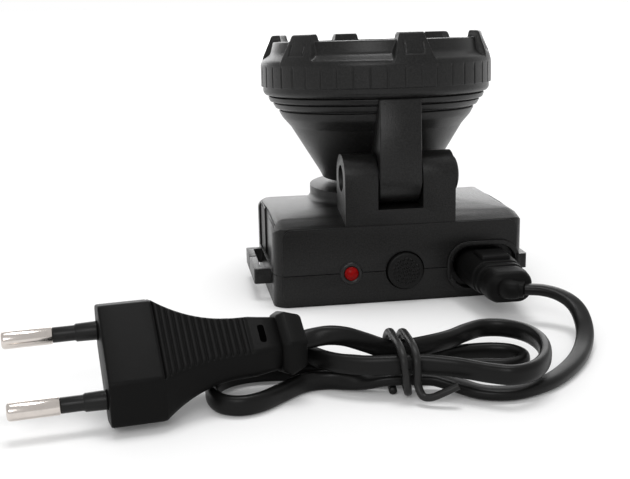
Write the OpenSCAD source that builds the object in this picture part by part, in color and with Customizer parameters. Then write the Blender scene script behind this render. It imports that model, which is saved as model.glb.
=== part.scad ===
// Miner's cap lamp: a lamp head hinged on a battery case, with its mains charging lead.
// Millimetres. Origin at the centre of the case's back face, +Z up, front towards -Y.

/* [Case] */
// Width of the battery case, side to side
case_w = 76; // [76:1:90]
// Depth of the battery case, front panel to rear side
case_d = 50; // [48:1:60]
// Height of the case at its front and rear top edges
case_edge_h = 23.5; // [23.5:0.5:28]
// Rise of the crowned top above its front and rear edges
crown_rise = 3.8; // [2:0.2:6]
// Height of the crowned top above the side edges
crown_side_rise = 3; // [1:0.5:5]
// Height of the back cover, up to the parting line
cover_h = 9.6; // [9:0.1:11]
// Corner radius of the case in plan
case_r = 4.5; // [2:0.5:6]
// Edge radius between the crowned top and the case sides
top_edge_r = 2.2; // [1:0.1:2.6]
// Wall of the two case shells
wall = 2.2; // [1.8:0.1:2.6]
// Depth of each of the two steps sunk in the case sides
side_step = 0.6; // [0.2:0.1:0.7]

/* [Front panel] */
// Width of the raised front panel
panel_w = 71; // [70:0.5:73]
// How far the panel stands proud of the case
panel_proud = 0.5; // [0.3:0.1:1]
// Corner radius of the panel
panel_r = 3; // [1:0.5:5]
// Height of the panel's lower edge above the back face
panel_low = 0.8; // [0.4:0.1:1.5]

/* [Top boss and bracket] */
// Radius of the round boss under the lamp head
boss_r = 22; // [18:0.5:24]
// Height of the boss's flat top
boss_top = 30.5; // [29.5:0.1:30.7]
// Distance of the boss and the lamp head's foot behind the case centre
boss_y = 8; // [5:0.5:10]
// Width of the slot between the bracket's two ears
ear_gap = 13.6; // [13.4:0.1:14]
// Thickness of each ear
ear_t = 9.8; // [7:0.1:11]
// Radius of an ear's rounded top
ear_r = 7.2; // [6.4:0.1:7.3]
// Height of the slot's floor
slot_floor = 28.2; // [27.6:0.1:28.3]

/* [Hinge] */
// Distance of the hinge axis in front of the case centre
pivot_front = 17.3; // [17:0.1:17.8]
// Height of the hinge axis
pivot_h = 36.9; // [36.8:0.1:38]
// Diameter of the hinge bolt
bolt_d = 3; // [2.5:0.1:3.4]
// Radial clearance of the hinge bolt in the arm and ears
bolt_gap = 0.05; // [0.02:0.01:0.1]
// Diameter of the bolt's domed cap
cap_d = 10.8; // [8:0.1:12]
// Diameter of the recess for the nut
nut_recess_d = 7.9; // [7.4:0.1:9]
// Nut size across its flats
nut_af = 5.5; // [5:0.1:6]
// Width of the lamp head's arm
arm_w = 12.6; // [12:0.1:12.8]
// Radius of the arm's lower end round the hinge axis
arm_r = 8; // [7.5:0.1:8]
// Lean of the lamp head back from upright at rest
head_lean = 2.5; // [1.5:0.1:2.7]

/* [Lamp head] */
// Distance of the lamp head's own axis behind the hinge axis
head_back = 26.9; // [26.9:0.1:28]
// Outer radius of the bezel's gripped band
bezel_r = 36.4; // [36:0.1:38]
// How far the bezel's gripped band stands outside the barrel that carries it
band_t = 3.4; // [3.2:0.1:3.8]
// Radial clearance between the bezel and the barrel
bezel_gap = 0.4; // [0.3:0.05:0.5]
// Wall of the lamp housing
head_wall = 2; // [1.6:0.1:2.2]
// Margin of the clear lens inside the bezel's gripped band
lens_margin = 5; // [4.9:0.1:5.4]
// Thickness of the clear lens
lens_t = 2.6; // [2:0.1:2.6]
// Width of the lens's edge that the bezel covers
lens_cover = 1.8; // [1.4:0.1:3]
// Number of castellations on the bezel
lug_count = 6; // [4:1:8]
// Number of grip pads round the bezel
pad_count = 45; // [30:1:60]
// Width of the groove between two pads
pad_groove = 0.5; // [0.4:0.1:1.2]
// Depth of the reflector's bowl
bowl_h = 26.4; // [25.8:0.1:26.8]

/* [Controls] */
// Distance of the charge light to the left of the case centre
led_x = 15.2; // [14:0.1:18]
// Diameter of the charge light's bezel ring
led_ring_d = 6.8; // [6:0.1:8]
// Diameter of the charge light's dome
led_d = 4.1; // [3:0.1:4.6]
// Distance of the mode button to the right of the case centre
button_x = 1.1; // [0:0.1:2]
// Diameter of the mode button
button_d = 11; // [9:0.1:12]
// Clearance round the mode button
button_gap = 0.35; // [0.3:0.05:0.5]

/* [Charging inlet] */
// Distance of the inlet from the case's right side
inlet_edge = 12.8; // [12.7:0.1:14]
// Width of the inlet's mouth
mouth_w = 20; // [19:0.1:20.4]
// Height of the inlet's mouth
mouth_h = 13; // [12:0.1:13.4]
// Depth of the inlet's wide mouth
mouth_depth = 3.3; // [2.5:0.1:4]
// Spacing of the inlet's two pins
pin_pitch = 8.6; // [8.4:0.1:8.8]
// Diameter of the inlet's pins
inlet_pin_d = 2.36; // [2.2:0.02:2.4]
// Radial clearance of the pins in their contacts
pin_gap = 0.07; // [0.03:0.01:0.1]
// Radius of each half of the connector's nose
nose_r = 3.95; // [3.7:0.05:4]
// Clearance of the nose in its socket
nose_gap = 0.3; // [0.3:0.05:0.4]
// Length of the nose
nose_l = 10.6; // [9:0.1:11]

/* [Strap loops] */
// Reach of a strap loop out from the case side
loop_reach = 5; // [4.6:0.1:6]
// Length of a strap loop along the case side
loop_l = 28; // [24:1:32]
// Thickness of a strap loop
loop_t = 4.6; // [3.6:0.1:6]
// Width of the slot that the strap passes through
strap_slot = 2.8; // [2.2:0.1:3]
// Length of the slot that the strap passes through
strap_slot_l = 23; // [20:1:25]

/* [Battery] */
// Diameter of the battery cell
cell_d = 18.2; // [17.8:0.1:18.4]
// Room between each end of the battery cell and the outside of the case
cell_room = 5.5; // [5.5:0.1:8]

/* [Mains lead] */
// Width of the flat twin cord
cord_w = 4.6; // [4.2:0.1:4.7]
// Thickness of the flat twin cord
cord_t = 3; // [2.6:0.1:3.1]
// Spacing of the mains plug's pins
plug_pitch = 18.6; // [18:0.1:19.2]
// Diameter of the mains plug's pins
plug_pin_d = 4; // [3.8:0.1:4.2]
// Bare length of a mains plug pin
plug_pin_l = 11; // [8:0.5:12]
// Diameter of the sleeves on the mains plug's pins
sleeve_d = 3.5; // [3.3:0.1:3.6]
// Length of the sleeves on the mains plug's pins
sleeve_l = 10; // [8:0.5:11]

/* [Hidden] */

eps = 0.01;
fine = 96;
black = [0.07, 0.07, 0.075];
dark = [0.13, 0.13, 0.14];

// Case
face_y = panel_proud - case_d / 2;
rear_y = case_d / 2;
crown_r = (pow(case_d / 2, 2) + pow(crown_rise, 2)) / (2 * crown_rise);
side_crown_top = case_edge_h + crown_rise + 0.7;
side_crown_r = (pow(case_w / 2, 2) + pow(crown_side_rise, 2)) / (2 * crown_side_rise);
inner_face_y = face_y + wall;
ctrl_h = cover_h;
boss_foot = case_edge_h - 1;
boss_rear = rear_y - 0.6;
post_r = 2.5;
post_x = case_w / 2 - wall - post_r - side_step + 0.2;
post_ys = [-5.5, rear_y - wall - post_r + 0.3];
screw_r = 1.1;
screw_head_r = 1.9;
screw_head_t = 1.4;
screw_l = 15;
screw_sink = 1.2;

// Bracket and hinge
pivot_y = -pivot_front;
bracket_x = ear_gap / 2 + ear_t;
bracket_front = -case_d / 2 + panel_proud;
washer_t = (ear_gap - arm_w) / 2 - 0.05;
washer_r = 5;
nut_t = 2.4;
nut_depth = 4.4;
cap_t = 2.2;
arm_gap = 0.7;

// Lamp head, heights on its own axis before it leans back
tail_z = 32.6;
cone_low_r = bezel_r / 2 + 0.2;
cone_low_z = 35.8;
cone_top_r = bezel_r - 9;
cone_top_z = 50.4;
barrel_z = 60;
barrel_r = bezel_r - band_t;
lens_r = bezel_r - lens_margin;
light_r = lens_r - lens_cover;
barrel_top = 71.2;
floor_z = 35;
flange_t = 0.7;
lens_z = barrel_top + flange_t;
gasket_t = 0.6;
lip_gap = 0.15;
lip_z = lens_z + lens_t + gasket_t + lip_gap;
ring_z = 77;
ring_r = bezel_r - 4.2;
ledge_z = 73.2;
ledge_r = bezel_r - 3.5;
band_top = 71.2;
band_low = 63.3;
skirt_inset = 0.6;
skirt_z = 60.6;
lug_z = 79;
lug_base = 13.4;
lug_tip = 8;
lug_first = -83;
pad_top = 69.5;
pad_depth = 0.35;
sink_t = 5;
board_z = floor_z + sink_t + 0.2;
board_t = 1.6;
board_r = 14;
board_screw_r = 11;
board_screws_at = [30, 150, 270];
emitter_r = 3.2;
reflector_t = 1.2;
reflector_hole = 5;
reflector_z = board_z + board_t + 0.7;
reflector_rim = barrel_r - head_wall - 0.6;
bowl_r = reflector_rim - 0.9;
focus = (pow(bowl_r, 2) - pow(reflector_hole, 2)) / (4 * bowl_h);

// Controls
button_r = button_d / 2;
button_proud = 1.5;
flange_gap = 0.5;
plunger_r = 1.5;
plunger_l = 4.2;
switch_y = inner_face_y + flange_gap + 4.2;
switch_d = 5.5;
board_y = switch_y + switch_d;
pcb_t = 1.6;
pcb_low = 3;
pcb_high = 21;
pcb_left = 7 - case_w / 2;
pcb_right = case_w / 2 - inlet_edge - 14.2;

// Inlet and connector
inlet_y = -case_d / 2;
inlet_x = case_w / 2 - inlet_edge;
inlet_lip = 0.8;
inlet_wall = 1.3;
socket_floor_y = inlet_y - inlet_lip + mouth_depth;
socket_back_y = socket_floor_y + nose_l + 3.2;
pin_tip_y = socket_floor_y + 1.6;
grip_front_y = socket_floor_y - 0.2;
grip_l = 27.5;
grip_rear_y = grip_front_y - grip_l;
sleeve_reach = 3.6;
exit_turn = 65;
contact_r = 1.8;
contact_l = nose_l - 1;

// Strap loops
loop_top = cover_h;
loop_slit = 0.7;
loop_slit_y = 2;

// Battery
cell_l = case_w - 2 * cell_room;
cell_y = 8;
cell_z = wall + cell_d / 2 + 0.8;

// Plug, on its own frame: X from its front face back along the lead, Y across, Z through
plug_front = [-84.3, -95.2, 12.2];
plug_yaw = 8;
plug_roll = 36;
plug_block = 12;
neck_x = 34.6;
flange_x = 39.5;
flange_l = 6;
plug_end = flange_x + flange_l;
plug_rib = 0.45;
plug_ribs = 14;
plug_rib_pitch = 1.45;
plug_groove = 1.6;

// The cord's route as [x, y, z, roll]: roll turns its wide side up from lying flat, in degrees.
// The free stretch runs from the connector's sleeve to the hank, on from the sleeve's tip.
free_route = [[0, 0, 0, 0], [4.5, -2.1, 0, 0], [8, -5, -0.6, 0], [10.2, -9, -1.8, 0], [10.8, -13.4, -3.6, 0],
    [9.6, -19.6, -6, 0], [6.2, -27, -7.5, 0], [1, -35.3, -7.9, 0], [-5.5, -43, -8, 0], [-12, -48.6, -8, 0],
    [-19.5, -52.2, -8, 0], [-24.5, -52.4, -8, 0], [-29, -50.8, -7.8, 0], [-33.2, -47.4, -7.2, 0],
    [-37.2, -45, -6.4, 0]];
// The hank from there to the plug: two folds at each side, drawn together at the tie.
hank_route = [[-12.4, -96, 3.5, 0], [-16.5, -95.6, 3.7, 0], [-21, -95, 3.5, 0], [-27, -92.8, 2.8, 60],
    [-33, -90, 2.4, 90], [-39, -90.8, 2.4, 90], [-44.7, -95.6, 2.4, 90], [-49.6, -99.8, 2.4, 90],
    [-54.2, -101.4, 2.4, 90], [-58.4, -99.6, 2.4, 90], [-60.4, -95, 2.4, 90], [-60, -89.4, 2.4, 90],
    [-57.2, -85, 2.4, 90], [-52.4, -82.4, 2.4, 90], [-46, -82, 2.4, 90], [-38, -83.4, 2.4, 90],
    [-31, -85.6, 2.4, 80], [-25.5, -87.6, 2.9, 45], [-21, -89.4, 3.5, 0], [-16.5, -90.3, 3.7, 0],
    [-12, -90.2, 3.5, 0], [-7, -89, 2.8, 45], [-1.8, -88.4, 2.4, 90], [4.8, -89.6, 2.4, 90],
    [10, -90.8, 2.4, 90], [14.2, -89.4, 2.4, 90], [16.2, -85.6, 2.4, 90], [14.6, -81.4, 2.4, 90],
    [10.4, -79.3, 2.4, 90], [5, -78.9, 2.4, 90], [0, -79.4, 2.4, 90], [-6, -81.4, 2.8, 45],
    [-11, -84, 3.5, 0], [-16.5, -85, 3.7, 0], [-22, -83.4, 3.4, 0], [-28, -80.8, 2.8, 45],
    [-34, -79.2, 2.4, 90], [-42, -76.8, 2.4, 90], [-50, -75.4, 2.4, 90], [-57, -74.4, 2.9, 90],
    [-63, -71.8, 3.9, 90], [-66, -66.6, 4.9, 90], [-64.2, -61.2, 5.9, 90], [-59, -59, 6.7, 90],
    [-53, -61, 7.3, 90], [-47.4, -66.8, 7.6, 90], [-42, -75.6, 7.6, 90], [-37.6, -84.6, 7.6, 90],
    [-33, -91.6, 7.6, 90], [-26.8, -95.8, 7.7, 90], [-20.4, -97.8, 8, 90], [-13.4, -98.6, 8, 90],
    [-5.7, -101.6, 7.7, 90], [0.6, -106, 7.5, 90], [5.4, -108.4, 7.5, 90], [10.6, -106.8, 7.5, 90],
    [14.8, -102.2, 7.5, 90], [17.8, -95.8, 7.5, 90], [19.2, -88.6, 7.5, 90], [18.2, -81.6, 7.5, 90],
    [14.2, -76.8, 7.5, 90], [8.8, -75.6, 7.5, 90], [3.6, -78.2, 7.5, 90], [-1.8, -82.4, 7.6, 90],
    [-8.2, -86.2, 8, 90], [-14, -88, 8.1, 90], [-19, -88.6, 8.6, 90], [-24, -88.7, 10.6, 90],
    [-28.5, -88.7, 12.3, 90], [-32.4, -88.6, 12.9, 80],
    [-35.9, -88.5, 12.6, 58]];
// The tie: two turns round the drawn-in strands, one end loose in front, the other tucked under.
tie_route = [[-6.2, -106, 5], [-9, -105.6, 3.6], [-12, -104.8, 2.2], [-13.8, -103.6, 2.2],
    [-14.6, -102.2, 4.4], [-14.6, -101.8, 7.4], [-14.6, -100.8, 10.2], [-14.6, -97.4, 12], [-14.4, -92, 12],
    [-14.2, -86, 11.6], [-14, -82, 9.4], [-14, -80.6, 5.6], [-14.1, -81, 2.4], [-14.5, -84.2, 1],
    [-15, -91, 1], [-15.7, -97, 1], [-16.5, -100.4, 2.4], [-17.1, -101.7, 6], [-17.6, -101.2, 10.2],
    [-17.7, -97.4, 12.1], [-17.6, -92, 12.2], [-17.4, -86, 11.9], [-17.3, -82, 9.4], [-17.3, -80.6, 5.6],
    [-17.4, -81, 2.4], [-17.8, -84.2, 1], [-18.4, -91, 1], [-19, -96.4, 1]];
tie_r = 0.85;

// ---------- shared shapes ----------

// A rounded rectangle centred on the origin.
module rounded(w, h, r) {
    offset(r, $fn = 32) square([w - 2 * r, h - 2 * r], center = true);
}

// A bar along +Y from y0 to y1 with the 2D children as its section, X across and Y up.
module along_y(y0, y1) {
    translate([0, y1, 0]) rotate([90, 0, 0]) linear_extrude(y1 - y0) children();
}

// A pin along +Y.
module pin_y(x, z, r, y0, y1) {
    translate([x, y1, z]) rotate([90, 0, 0]) cylinder(r = r, h = y1 - y0, $fn = 48);
}

// A pin along +X through the hinge axis.
module pin_x(r, x0, x1) {
    translate([x0, pivot_y, pivot_h]) rotate([0, 90, 0]) cylinder(r = r, h = x1 - x0, $fn = 48);
}

// Places children, drawn on the upright lamp head, where the head leans at rest.
module on_head() {
    translate([0, pivot_y, pivot_h]) rotate([-head_lean, 0, 0])
        translate([0, head_back, -pivot_h]) children();
}

// Turns a profile of [radius, height] points round the head's axis.
module turned(profile) {
    rotate_extrude($fn = fine) polygon(profile);
}

// A solid skinned over closed sections that have equally many points, in order.
module skin(sections) {
    n = len(sections[0]);
    m = len(sections);
    points = [for (s = sections) each s];
    sides = [for (i = [0:m - 2]) for (j = [0:n - 1])
        let (a = i * n + j, b = i * n + (j + 1) % n, c = a + n, d = b + n) each [[a, c, b], [b, c, d]]];
    first = [for (j = [1:n - 2]) [0, j, j + 1]];
    last = [for (j = [1:n - 2]) [(m - 1) * n, (m - 1) * n + j + 1, (m - 1) * n + j]];
    polyhedron(points, concat(sides, first, last));
}

// ---------- cord ----------

function xyz(p) = [p.x, p.y, p.z];
function unit(v) = v / norm(v);
function spline(a, b, c, d, t) = 0.5 * ((2 * b) + (c - a) * t + (2 * a - 5 * b + 4 * c - d) * t * t
    + (3 * b - a - 3 * c + d) * t * t * t);

// The route smoothed into n short runs between each two of its points.
function smooth(route, n) = let (m = len(route)) concat(
    [for (i = [0:m - 2]) for (k = [0:n - 1])
        spline(i == 0 ? 2 * route[0] - route[1] : route[i - 1], route[i], route[i + 1],
            i == m - 2 ? 2 * route[m - 1] - route[m - 2] : route[i + 2], k / n)],
    [route[m - 1]]);
function heading(path, i) = unit(xyz(path[min(i + 1, len(path) - 1)] - path[max(i - 1, 0)]));
function length_of(path, i = 1) = i >= len(path) ? 0
    : norm(xyz(path[i] - path[i - 1])) + length_of(path, i + 1);

// The points of a flat section of half-sizes w and t at i, with its wide side turned up by the point's roll.
function ring_at(path, i, w, t, sides) =
    let (ahead = heading(path, i), side = unit(cross(ahead, [0, 0, 1])), up = cross(side, ahead),
        roll = len(path[i]) > 3 ? path[i][3] : 0, wide = cos(roll) * side + sin(roll) * up,
        thin = cos(roll) * up - sin(roll) * side, half = sides % 4 == 0 ? 180 / sides : 0)
    [for (k = [0:sides - 1]) let (a = 360 * k / sides + half)
        xyz(path[i]) + w * cos(a) / cos(half) * wide + t * sin(a) / cos(180 / sides) * thin];

module tube(path, w, t, sides) {
    skin([for (i = [0:len(path) - 1]) ring_at(path, i, w, t, sides)]);
}

// Half of the cord's reach along the ground and upward, at a roll.
function reach_out(roll) = norm([cord_w * cos(roll), cord_t * sin(roll)]) / 2;
function reach_up(roll) = norm([cord_w * sin(roll), cord_t * cos(roll)]) / 2;

// The least gap between stretches of a path more than skip points apart along it.
function least_gap(path, skip) = min([for (i = [0:len(path) - 1]) for (j = [i + skip:1:len(path) - 1])
    let (d = path[i] - path[j], a = path[i][3], b = path[j][3])
    max(norm([d.x, d.y]) - reach_out(a) - reach_out(b), abs(d.z) - reach_up(a) - reach_up(b))]);

exit_point = [inlet_x + sleeve_reach * sin(exit_turn), grip_rear_y - sleeve_reach * cos(exit_turn), ctrl_h];
free_path = smooth([for (p = free_route) p + concat(exit_point, [0])], 3);
hank_end = concat(plug_point([plug_end, 0, 0]), [plug_roll]);
hank_path = smooth(concat([free_path[len(free_path) - 1]], hank_route, [hank_end]), 3);

// ---------- plug ----------

function turn_z(p, a) = [p.x * cos(a) - p.y * sin(a), p.x * sin(a) + p.y * cos(a), p.z];
function turn_x(p, a) = [p.x, p.y * cos(a) - p.z * sin(a), p.y * sin(a) + p.z * cos(a)];
function plug_point(p) = plug_front + turn_z(turn_x(p, plug_roll), plug_yaw);

module on_plug() {
    translate(plug_front) rotate([0, 0, plug_yaw]) rotate([plug_roll, 0, 0]) children();
}

// A six-sided section at x: half-width to its side edges, half-width of its broad faces, half-thickness.
function hex_section(x, w, broad, t) =
    [[x, w, 0], [x, broad, t], [x, -broad, t], [x, -w, 0], [x, -broad, -t], [x, broad, -t]];

// The plug's taper from its block to its neck: fraction t gives a concave blend.
function taper(from, to, t) = to + (from - to) * pow(1 - t, 2.3);

// ---------- case ----------

module case_plan(w, y0, y1, r) {
    translate([0, (y0 + y1) / 2]) rounded(w, y1 - y0, r);
}

// The outer form of the case between two heights, sunk by inset all round and under its top.
module case_form(z0, z1, inset) {
    intersection() {
        translate([0, 0, z0]) linear_extrude(z1 - z0)
            case_plan(case_w - 2 * inset, face_y + inset, rear_y - inset, case_r - min(inset, case_r - 1));
        translate([-case_w, 0, case_edge_h + crown_rise - crown_r]) rotate([0, 90, 0])
            cylinder(r = crown_r - inset, h = 2 * case_w, $fn = 180);
        along_y(-case_d, case_d) side_crown(inset);
    }
}

// The case seen from the front: its sides, and the crown between them with rounded edges.
module side_crown(inset) {
    edge = max(0.4, top_edge_r - inset);
    offset(edge, $fn = 40) offset(delta = -edge) intersection() {
        translate([0, side_crown_top - side_crown_r]) circle(r = side_crown_r - inset, $fn = 360);
        square([case_w - 2 * inset, 4 * case_edge_h], center = true);
    }
}

// The raised panel across both shells, between two heights.
module panel(z0, z1) {
    intersection() {
        translate([0, 0, panel_low + (case_edge_h - panel_low) / 2])
            along_y(-case_d / 2, face_y + eps) rounded(panel_w, case_edge_h - panel_low, panel_r);
        translate([-case_w / 2, -case_d, z0]) cube([case_w, case_d, z1 - z0]);
    }
}

// The two steps sunk in each side wall.
module side_steps() {
    for (s = [-1, 1]) for (k = [0, 1])
        translate([s * (case_w / 2 - (k + 1) * side_step) + (s < 0 ? -2 : 0), -17 + 11.5 * k, cover_h])
            cube([2, 34 - 23 * k, case_edge_h]);
}

// Holes through the front wall for the light, the button and the inlet.
module front_holes() {
    pin_y(-led_x, ctrl_h, led_ring_d / 2 - 0.6, -case_d, inner_face_y + 1);
    pin_y(button_x, ctrl_h, button_r + button_gap, -case_d, inner_face_y + 1);
    translate([inlet_x, 0, ctrl_h]) along_y(-case_d, inner_face_y + 1)
        rounded(mouth_w + 2 * inlet_wall - 2.4, mouth_h + 2 * inlet_wall - 1.6, 5);
}

module posts(z0, z1) {
    for (s = [-1, 1]) for (y = post_ys)
        translate([s * post_x, y, z0]) cylinder(r = post_r, h = z1 - z0, $fn = 48);
}

module front_shell() {
    color(black) {
        difference() {
            union() {
                case_form(cover_h, case_edge_h + crown_rise + 2, 0);
                panel(cover_h, case_edge_h);
                intersection() {
                    translate([0, boss_y, boss_foot])
                        cylinder(r = boss_r, h = boss_top - boss_foot, $fn = fine);
                    translate([-case_w, -case_d, 0]) cube([2 * case_w, case_d + boss_rear, boss_top]);
                }
                bracket();
            }
            difference() {
                case_form(cover_h - eps, case_edge_h + crown_rise + 2, wall);
                posts(cover_h, case_edge_h + crown_rise);
            }
            side_steps();
            front_holes();
            translate([-ear_gap / 2, -case_d, slot_floor])
                cube([ear_gap, case_d + pivot_y + arm_r + arm_gap, 3 * ear_r]);
            for (s = [-1, 1]) for (y = post_ys)
                translate([s * post_x, y, cover_h - 1])
                    cylinder(r = screw_r, h = screw_l - cover_h + screw_sink + 2, $fn = 32);
            pin_x(bolt_d / 2 + bolt_gap, -bracket_x - 1, bracket_x + 1);
            pin_x(nut_recess_d / 2, -bracket_x - 1, -bracket_x + nut_depth);
        }
    }
}

// The bracket that the hinge runs through, before the slot for the arm is cut from it.
module bracket() {
    base = case_edge_h - 1.6;
    pin_x(ear_r, -bracket_x, bracket_x);
    translate([-bracket_x, bracket_front, base]) cube([2 * bracket_x, 2 * ear_r, pivot_h - base]);
}

module back_cover() {
    color(black) {
        difference() {
            union() {
                case_form(0, cover_h, 0);
                panel(0, cover_h);
            }
            difference() {
                case_form(wall, cover_h + eps, wall);
                posts(0, cover_h);
                cell_cradle();
            }
            front_holes();
            for (s = [-1, 1]) for (y = post_ys) {
                translate([s * post_x, y, -1]) cylinder(r = screw_r, h = cover_h + 2, $fn = 32);
                translate([s * post_x, y, -1])
                    cylinder(r = screw_head_r, h = screw_head_t + screw_sink + 1, $fn = 32);
            }
        }
        strap_loop();
        mirror([1, 0, 0]) strap_loop();
    }
}

// Two ribs across the cover that the cell lies in.
module cell_cradle() {
    difference() {
        for (x = [-22, 20.5]) translate([x, cell_y - 9, 0]) cube([1.5, 18, cell_z - 2]);
        translate([-case_w, cell_y, cell_z]) rotate([0, 90, 0])
            cylinder(r = cell_d / 2 + 0.05, h = 2 * case_w, $fn = 64);
    }
}

// A loop beside the cover for the cap's strap, its outer bar slit so that the strap slips in.
module strap_loop() {
    difference() {
        translate([case_w / 2 - 1, 0, loop_top - loop_t]) linear_extrude(loop_t)
            translate([(loop_reach + 1) / 2, 0]) rounded(loop_reach + 1, loop_l, 0.9);
        translate([case_w / 2, -strap_slot_l / 2, 0]) cube([strap_slot, strap_slot_l, case_edge_h]);
        translate([case_w / 2 + 1, loop_slit_y - loop_slit / 2, 0])
            cube([loop_reach, loop_slit, case_edge_h]);
        translate([case_w / 2 - 2, -loop_l, 0]) cube([2, 2 * loop_l, case_edge_h]);
    }
}

module case_screws() {
    color([0.45, 0.45, 0.47]) for (s = [-1, 1]) for (y = post_ys) translate([s * post_x, y, screw_sink]) {
        difference() {
            cylinder(r = screw_head_r - 0.05, h = screw_head_t, $fn = 32);
            for (a = [0, 90]) rotate(a) translate([-1.2, -0.25, -eps]) cube([2.4, 0.5, 0.7]);
        }
        cylinder(r = screw_r - 0.02, h = screw_l, $fn = 32);
    }
}

module battery_cell() {
    color([0.16, 0.32, 0.5]) translate([-cell_l / 2, cell_y, cell_z]) rotate([0, 90, 0]) {
        cylinder(r = cell_d / 2, h = cell_l - 1, $fn = 64);
        cylinder(r = 4, h = cell_l, $fn = 48);
    }
}

// Nickel strips welded to the cell's two ends, bent along its front and led to the board.
module battery_tabs() {
    t = 0.2;
    front = cell_y - cell_d / 2 - 0.6;
    color([0.75, 0.75, 0.73]) for (s = [0, 1]) mirror([s, 0, 0]) {
        turn_x = s == 0 ? pcb_right - 1.5 : -pcb_left - 13;
        translate([cell_l / 2, front, cell_z - 2]) cube([t, cell_d / 2 + 2.6, 4]);
        translate([turn_x, front, cell_z - 2]) cube([cell_l / 2 - turn_x + t, t, 4]);
        translate([turn_x, board_y + pcb_t + 0.2, cell_z - 2])
            cube([t, front - board_y - pcb_t - 0.2 + t, 4]);
    }
}

module charger_board() {
    color([0.05, 0.3, 0.16]) translate([pcb_left, board_y, pcb_low])
        cube([pcb_right - pcb_left, pcb_t, pcb_high - pcb_low]);
}

// Transformer, capacitor, chip and diodes on the rear of the board.
module board_parts() {
    color(dark) translate([0, board_y + pcb_t, 0]) {
        translate([pcb_left + 2, 0, 12.5]) cube([9, 2.6, 7]);
        translate([pcb_left + 15, 0, 14]) cube([5, 1.5, 4]);
        translate([pcb_right - 9, 0, 15]) cube([7, 2.4, 5]);
        for (x = [23, 26.4, 29.8]) translate([pcb_left + x, 0, 15]) cube([2, 1.1, 3.6]);
        translate([pcb_left + 5, 2.6, 8]) rotate([90, 0, 0]) cylinder(r = 2.6, h = 2.6, $fn = 32);
    }
}

module switch_body() {
    color(dark) difference() {
        translate([button_x - 3, switch_y, ctrl_h - 3]) cube([6, switch_d, 6]);
        pin_y(button_x, ctrl_h, plunger_r + 0.35, switch_y - 1, switch_y + plunger_l);
    }
}

module led_ring() {
    color(dark) difference() {
        union() {
            pin_y(-led_x, ctrl_h, led_ring_d / 2, inlet_y - 0.6, inlet_y);
            pin_y(-led_x, ctrl_h, led_ring_d / 2 - 0.6, inlet_y - 0.6, inner_face_y + 0.8);
        }
        pin_y(-led_x, ctrl_h, led_d / 2, inlet_y - 1, inner_face_y + 1);
    }
}

module charge_led() {
    dome = led_d / 2;
    tip = inlet_y - 0.5;
    color([0.6, 0.05, 0.05]) {
        pin_y(-led_x, ctrl_h, dome, tip, board_y - 3);
        intersection() {
            translate([-led_x, tip + 1.5, ctrl_h]) sphere(r = norm([dome, 1.5]), $fn = 48);
            pin_y(-led_x, ctrl_h, dome, tip - 3, tip);
        }
    }
    color([0.7, 0.7, 0.7]) for (s = [-1, 1])
        translate([-led_x + s * 1.27 - 0.25, board_y - 3, ctrl_h - 0.25]) cube([0.5, 3, 0.5]);
}

// ---------- inlet ----------

// Two circles joined by a waist: the section of the connector's nose and, with a gap, its socket.
module nose_section(gap) {
    r = nose_r + gap;
    for (s = [-1, 1]) translate([s * pin_pitch / 2, 0]) circle(r = r, $fn = 48);
    square([pin_pitch, 2 * r - 1.6], center = true);
}

module inlet_socket() {
    outer_w = mouth_w + 2 * inlet_wall;
    outer_h = mouth_h + 2 * inlet_wall;
    color(black) translate([inlet_x, 0, ctrl_h]) difference() {
        union() {
            along_y(inlet_y - inlet_lip, inlet_y) rounded(outer_w, outer_h, 6.6);
            along_y(inlet_y - inlet_lip, socket_floor_y + 1.4) rounded(outer_w - 2.4, outer_h - 1.6, 5);
            along_y(socket_floor_y, socket_back_y) nose_section(nose_gap + 1.3);
        }
        along_y(inlet_y - inlet_lip - 1, socket_floor_y) rounded(mouth_w, mouth_h, 5.6);
        along_y(socket_floor_y - 1, socket_floor_y + nose_l + 0.6) nose_section(nose_gap);
        for (s = [-1, 1]) pin_y(s * pin_pitch / 2, 0, inlet_pin_d / 2, socket_floor_y, socket_back_y + 1);
        for (a = [0, 180]) rotate([0, a, 0]) translate([mouth_w / 2 + 0.1, 0, 0])
            along_y(inlet_y - inlet_lip - 1, inlet_y - inlet_lip + 0.35) square([0.5, 7], center = true);
    }
}

module inlet_pins() {
    color([0.78, 0.76, 0.7]) for (s = [-1, 1])
        pin_y(inlet_x + s * pin_pitch / 2, ctrl_h, inlet_pin_d / 2, pin_tip_y, socket_back_y + 1.2);
}

// ---------- hinge ----------

module pivot_bolt() {
    tip = -2 * bracket_x + nut_depth - nut_t - 0.6;
    color(black) {
        translate([bracket_x, pivot_y, pivot_h]) rotate([0, 90, 0]) turned([
            [0, tip], [bolt_d / 2, tip], [bolt_d / 2, 0],
            [cap_d / 2, 0], [cap_d / 2, cap_t - 0.9], [cap_d / 2 - 0.3, cap_t - 0.6],
            [cap_d / 2 - 1.4, cap_t - 0.25], [cap_d / 2 - 3, cap_t], [0, cap_t]]);
    }
}

module pivot_nut() {
    x0 = -bracket_x + nut_depth - nut_t;
    color([0.3, 0.3, 0.32]) difference() {
        translate([x0, pivot_y, pivot_h]) rotate([0, 90, 0])
            cylinder(r = nut_af / 2 / cos(30), h = nut_t, $fn = 6);
        pin_x(bolt_d / 2, x0 - 1, x0 + nut_t + 1);
    }
}

module friction_washers() {
    color([0.6, 0.6, 0.6]) for (s = [0, 1]) mirror([s, 0, 0]) difference() {
        pin_x(washer_r, ear_gap / 2 - washer_t, ear_gap / 2);
        pin_x(bolt_d / 2 + bolt_gap, ear_gap / 2 - washer_t - 1, ear_gap / 2 + 1);
    }
}

// ---------- lamp head ----------

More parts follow.
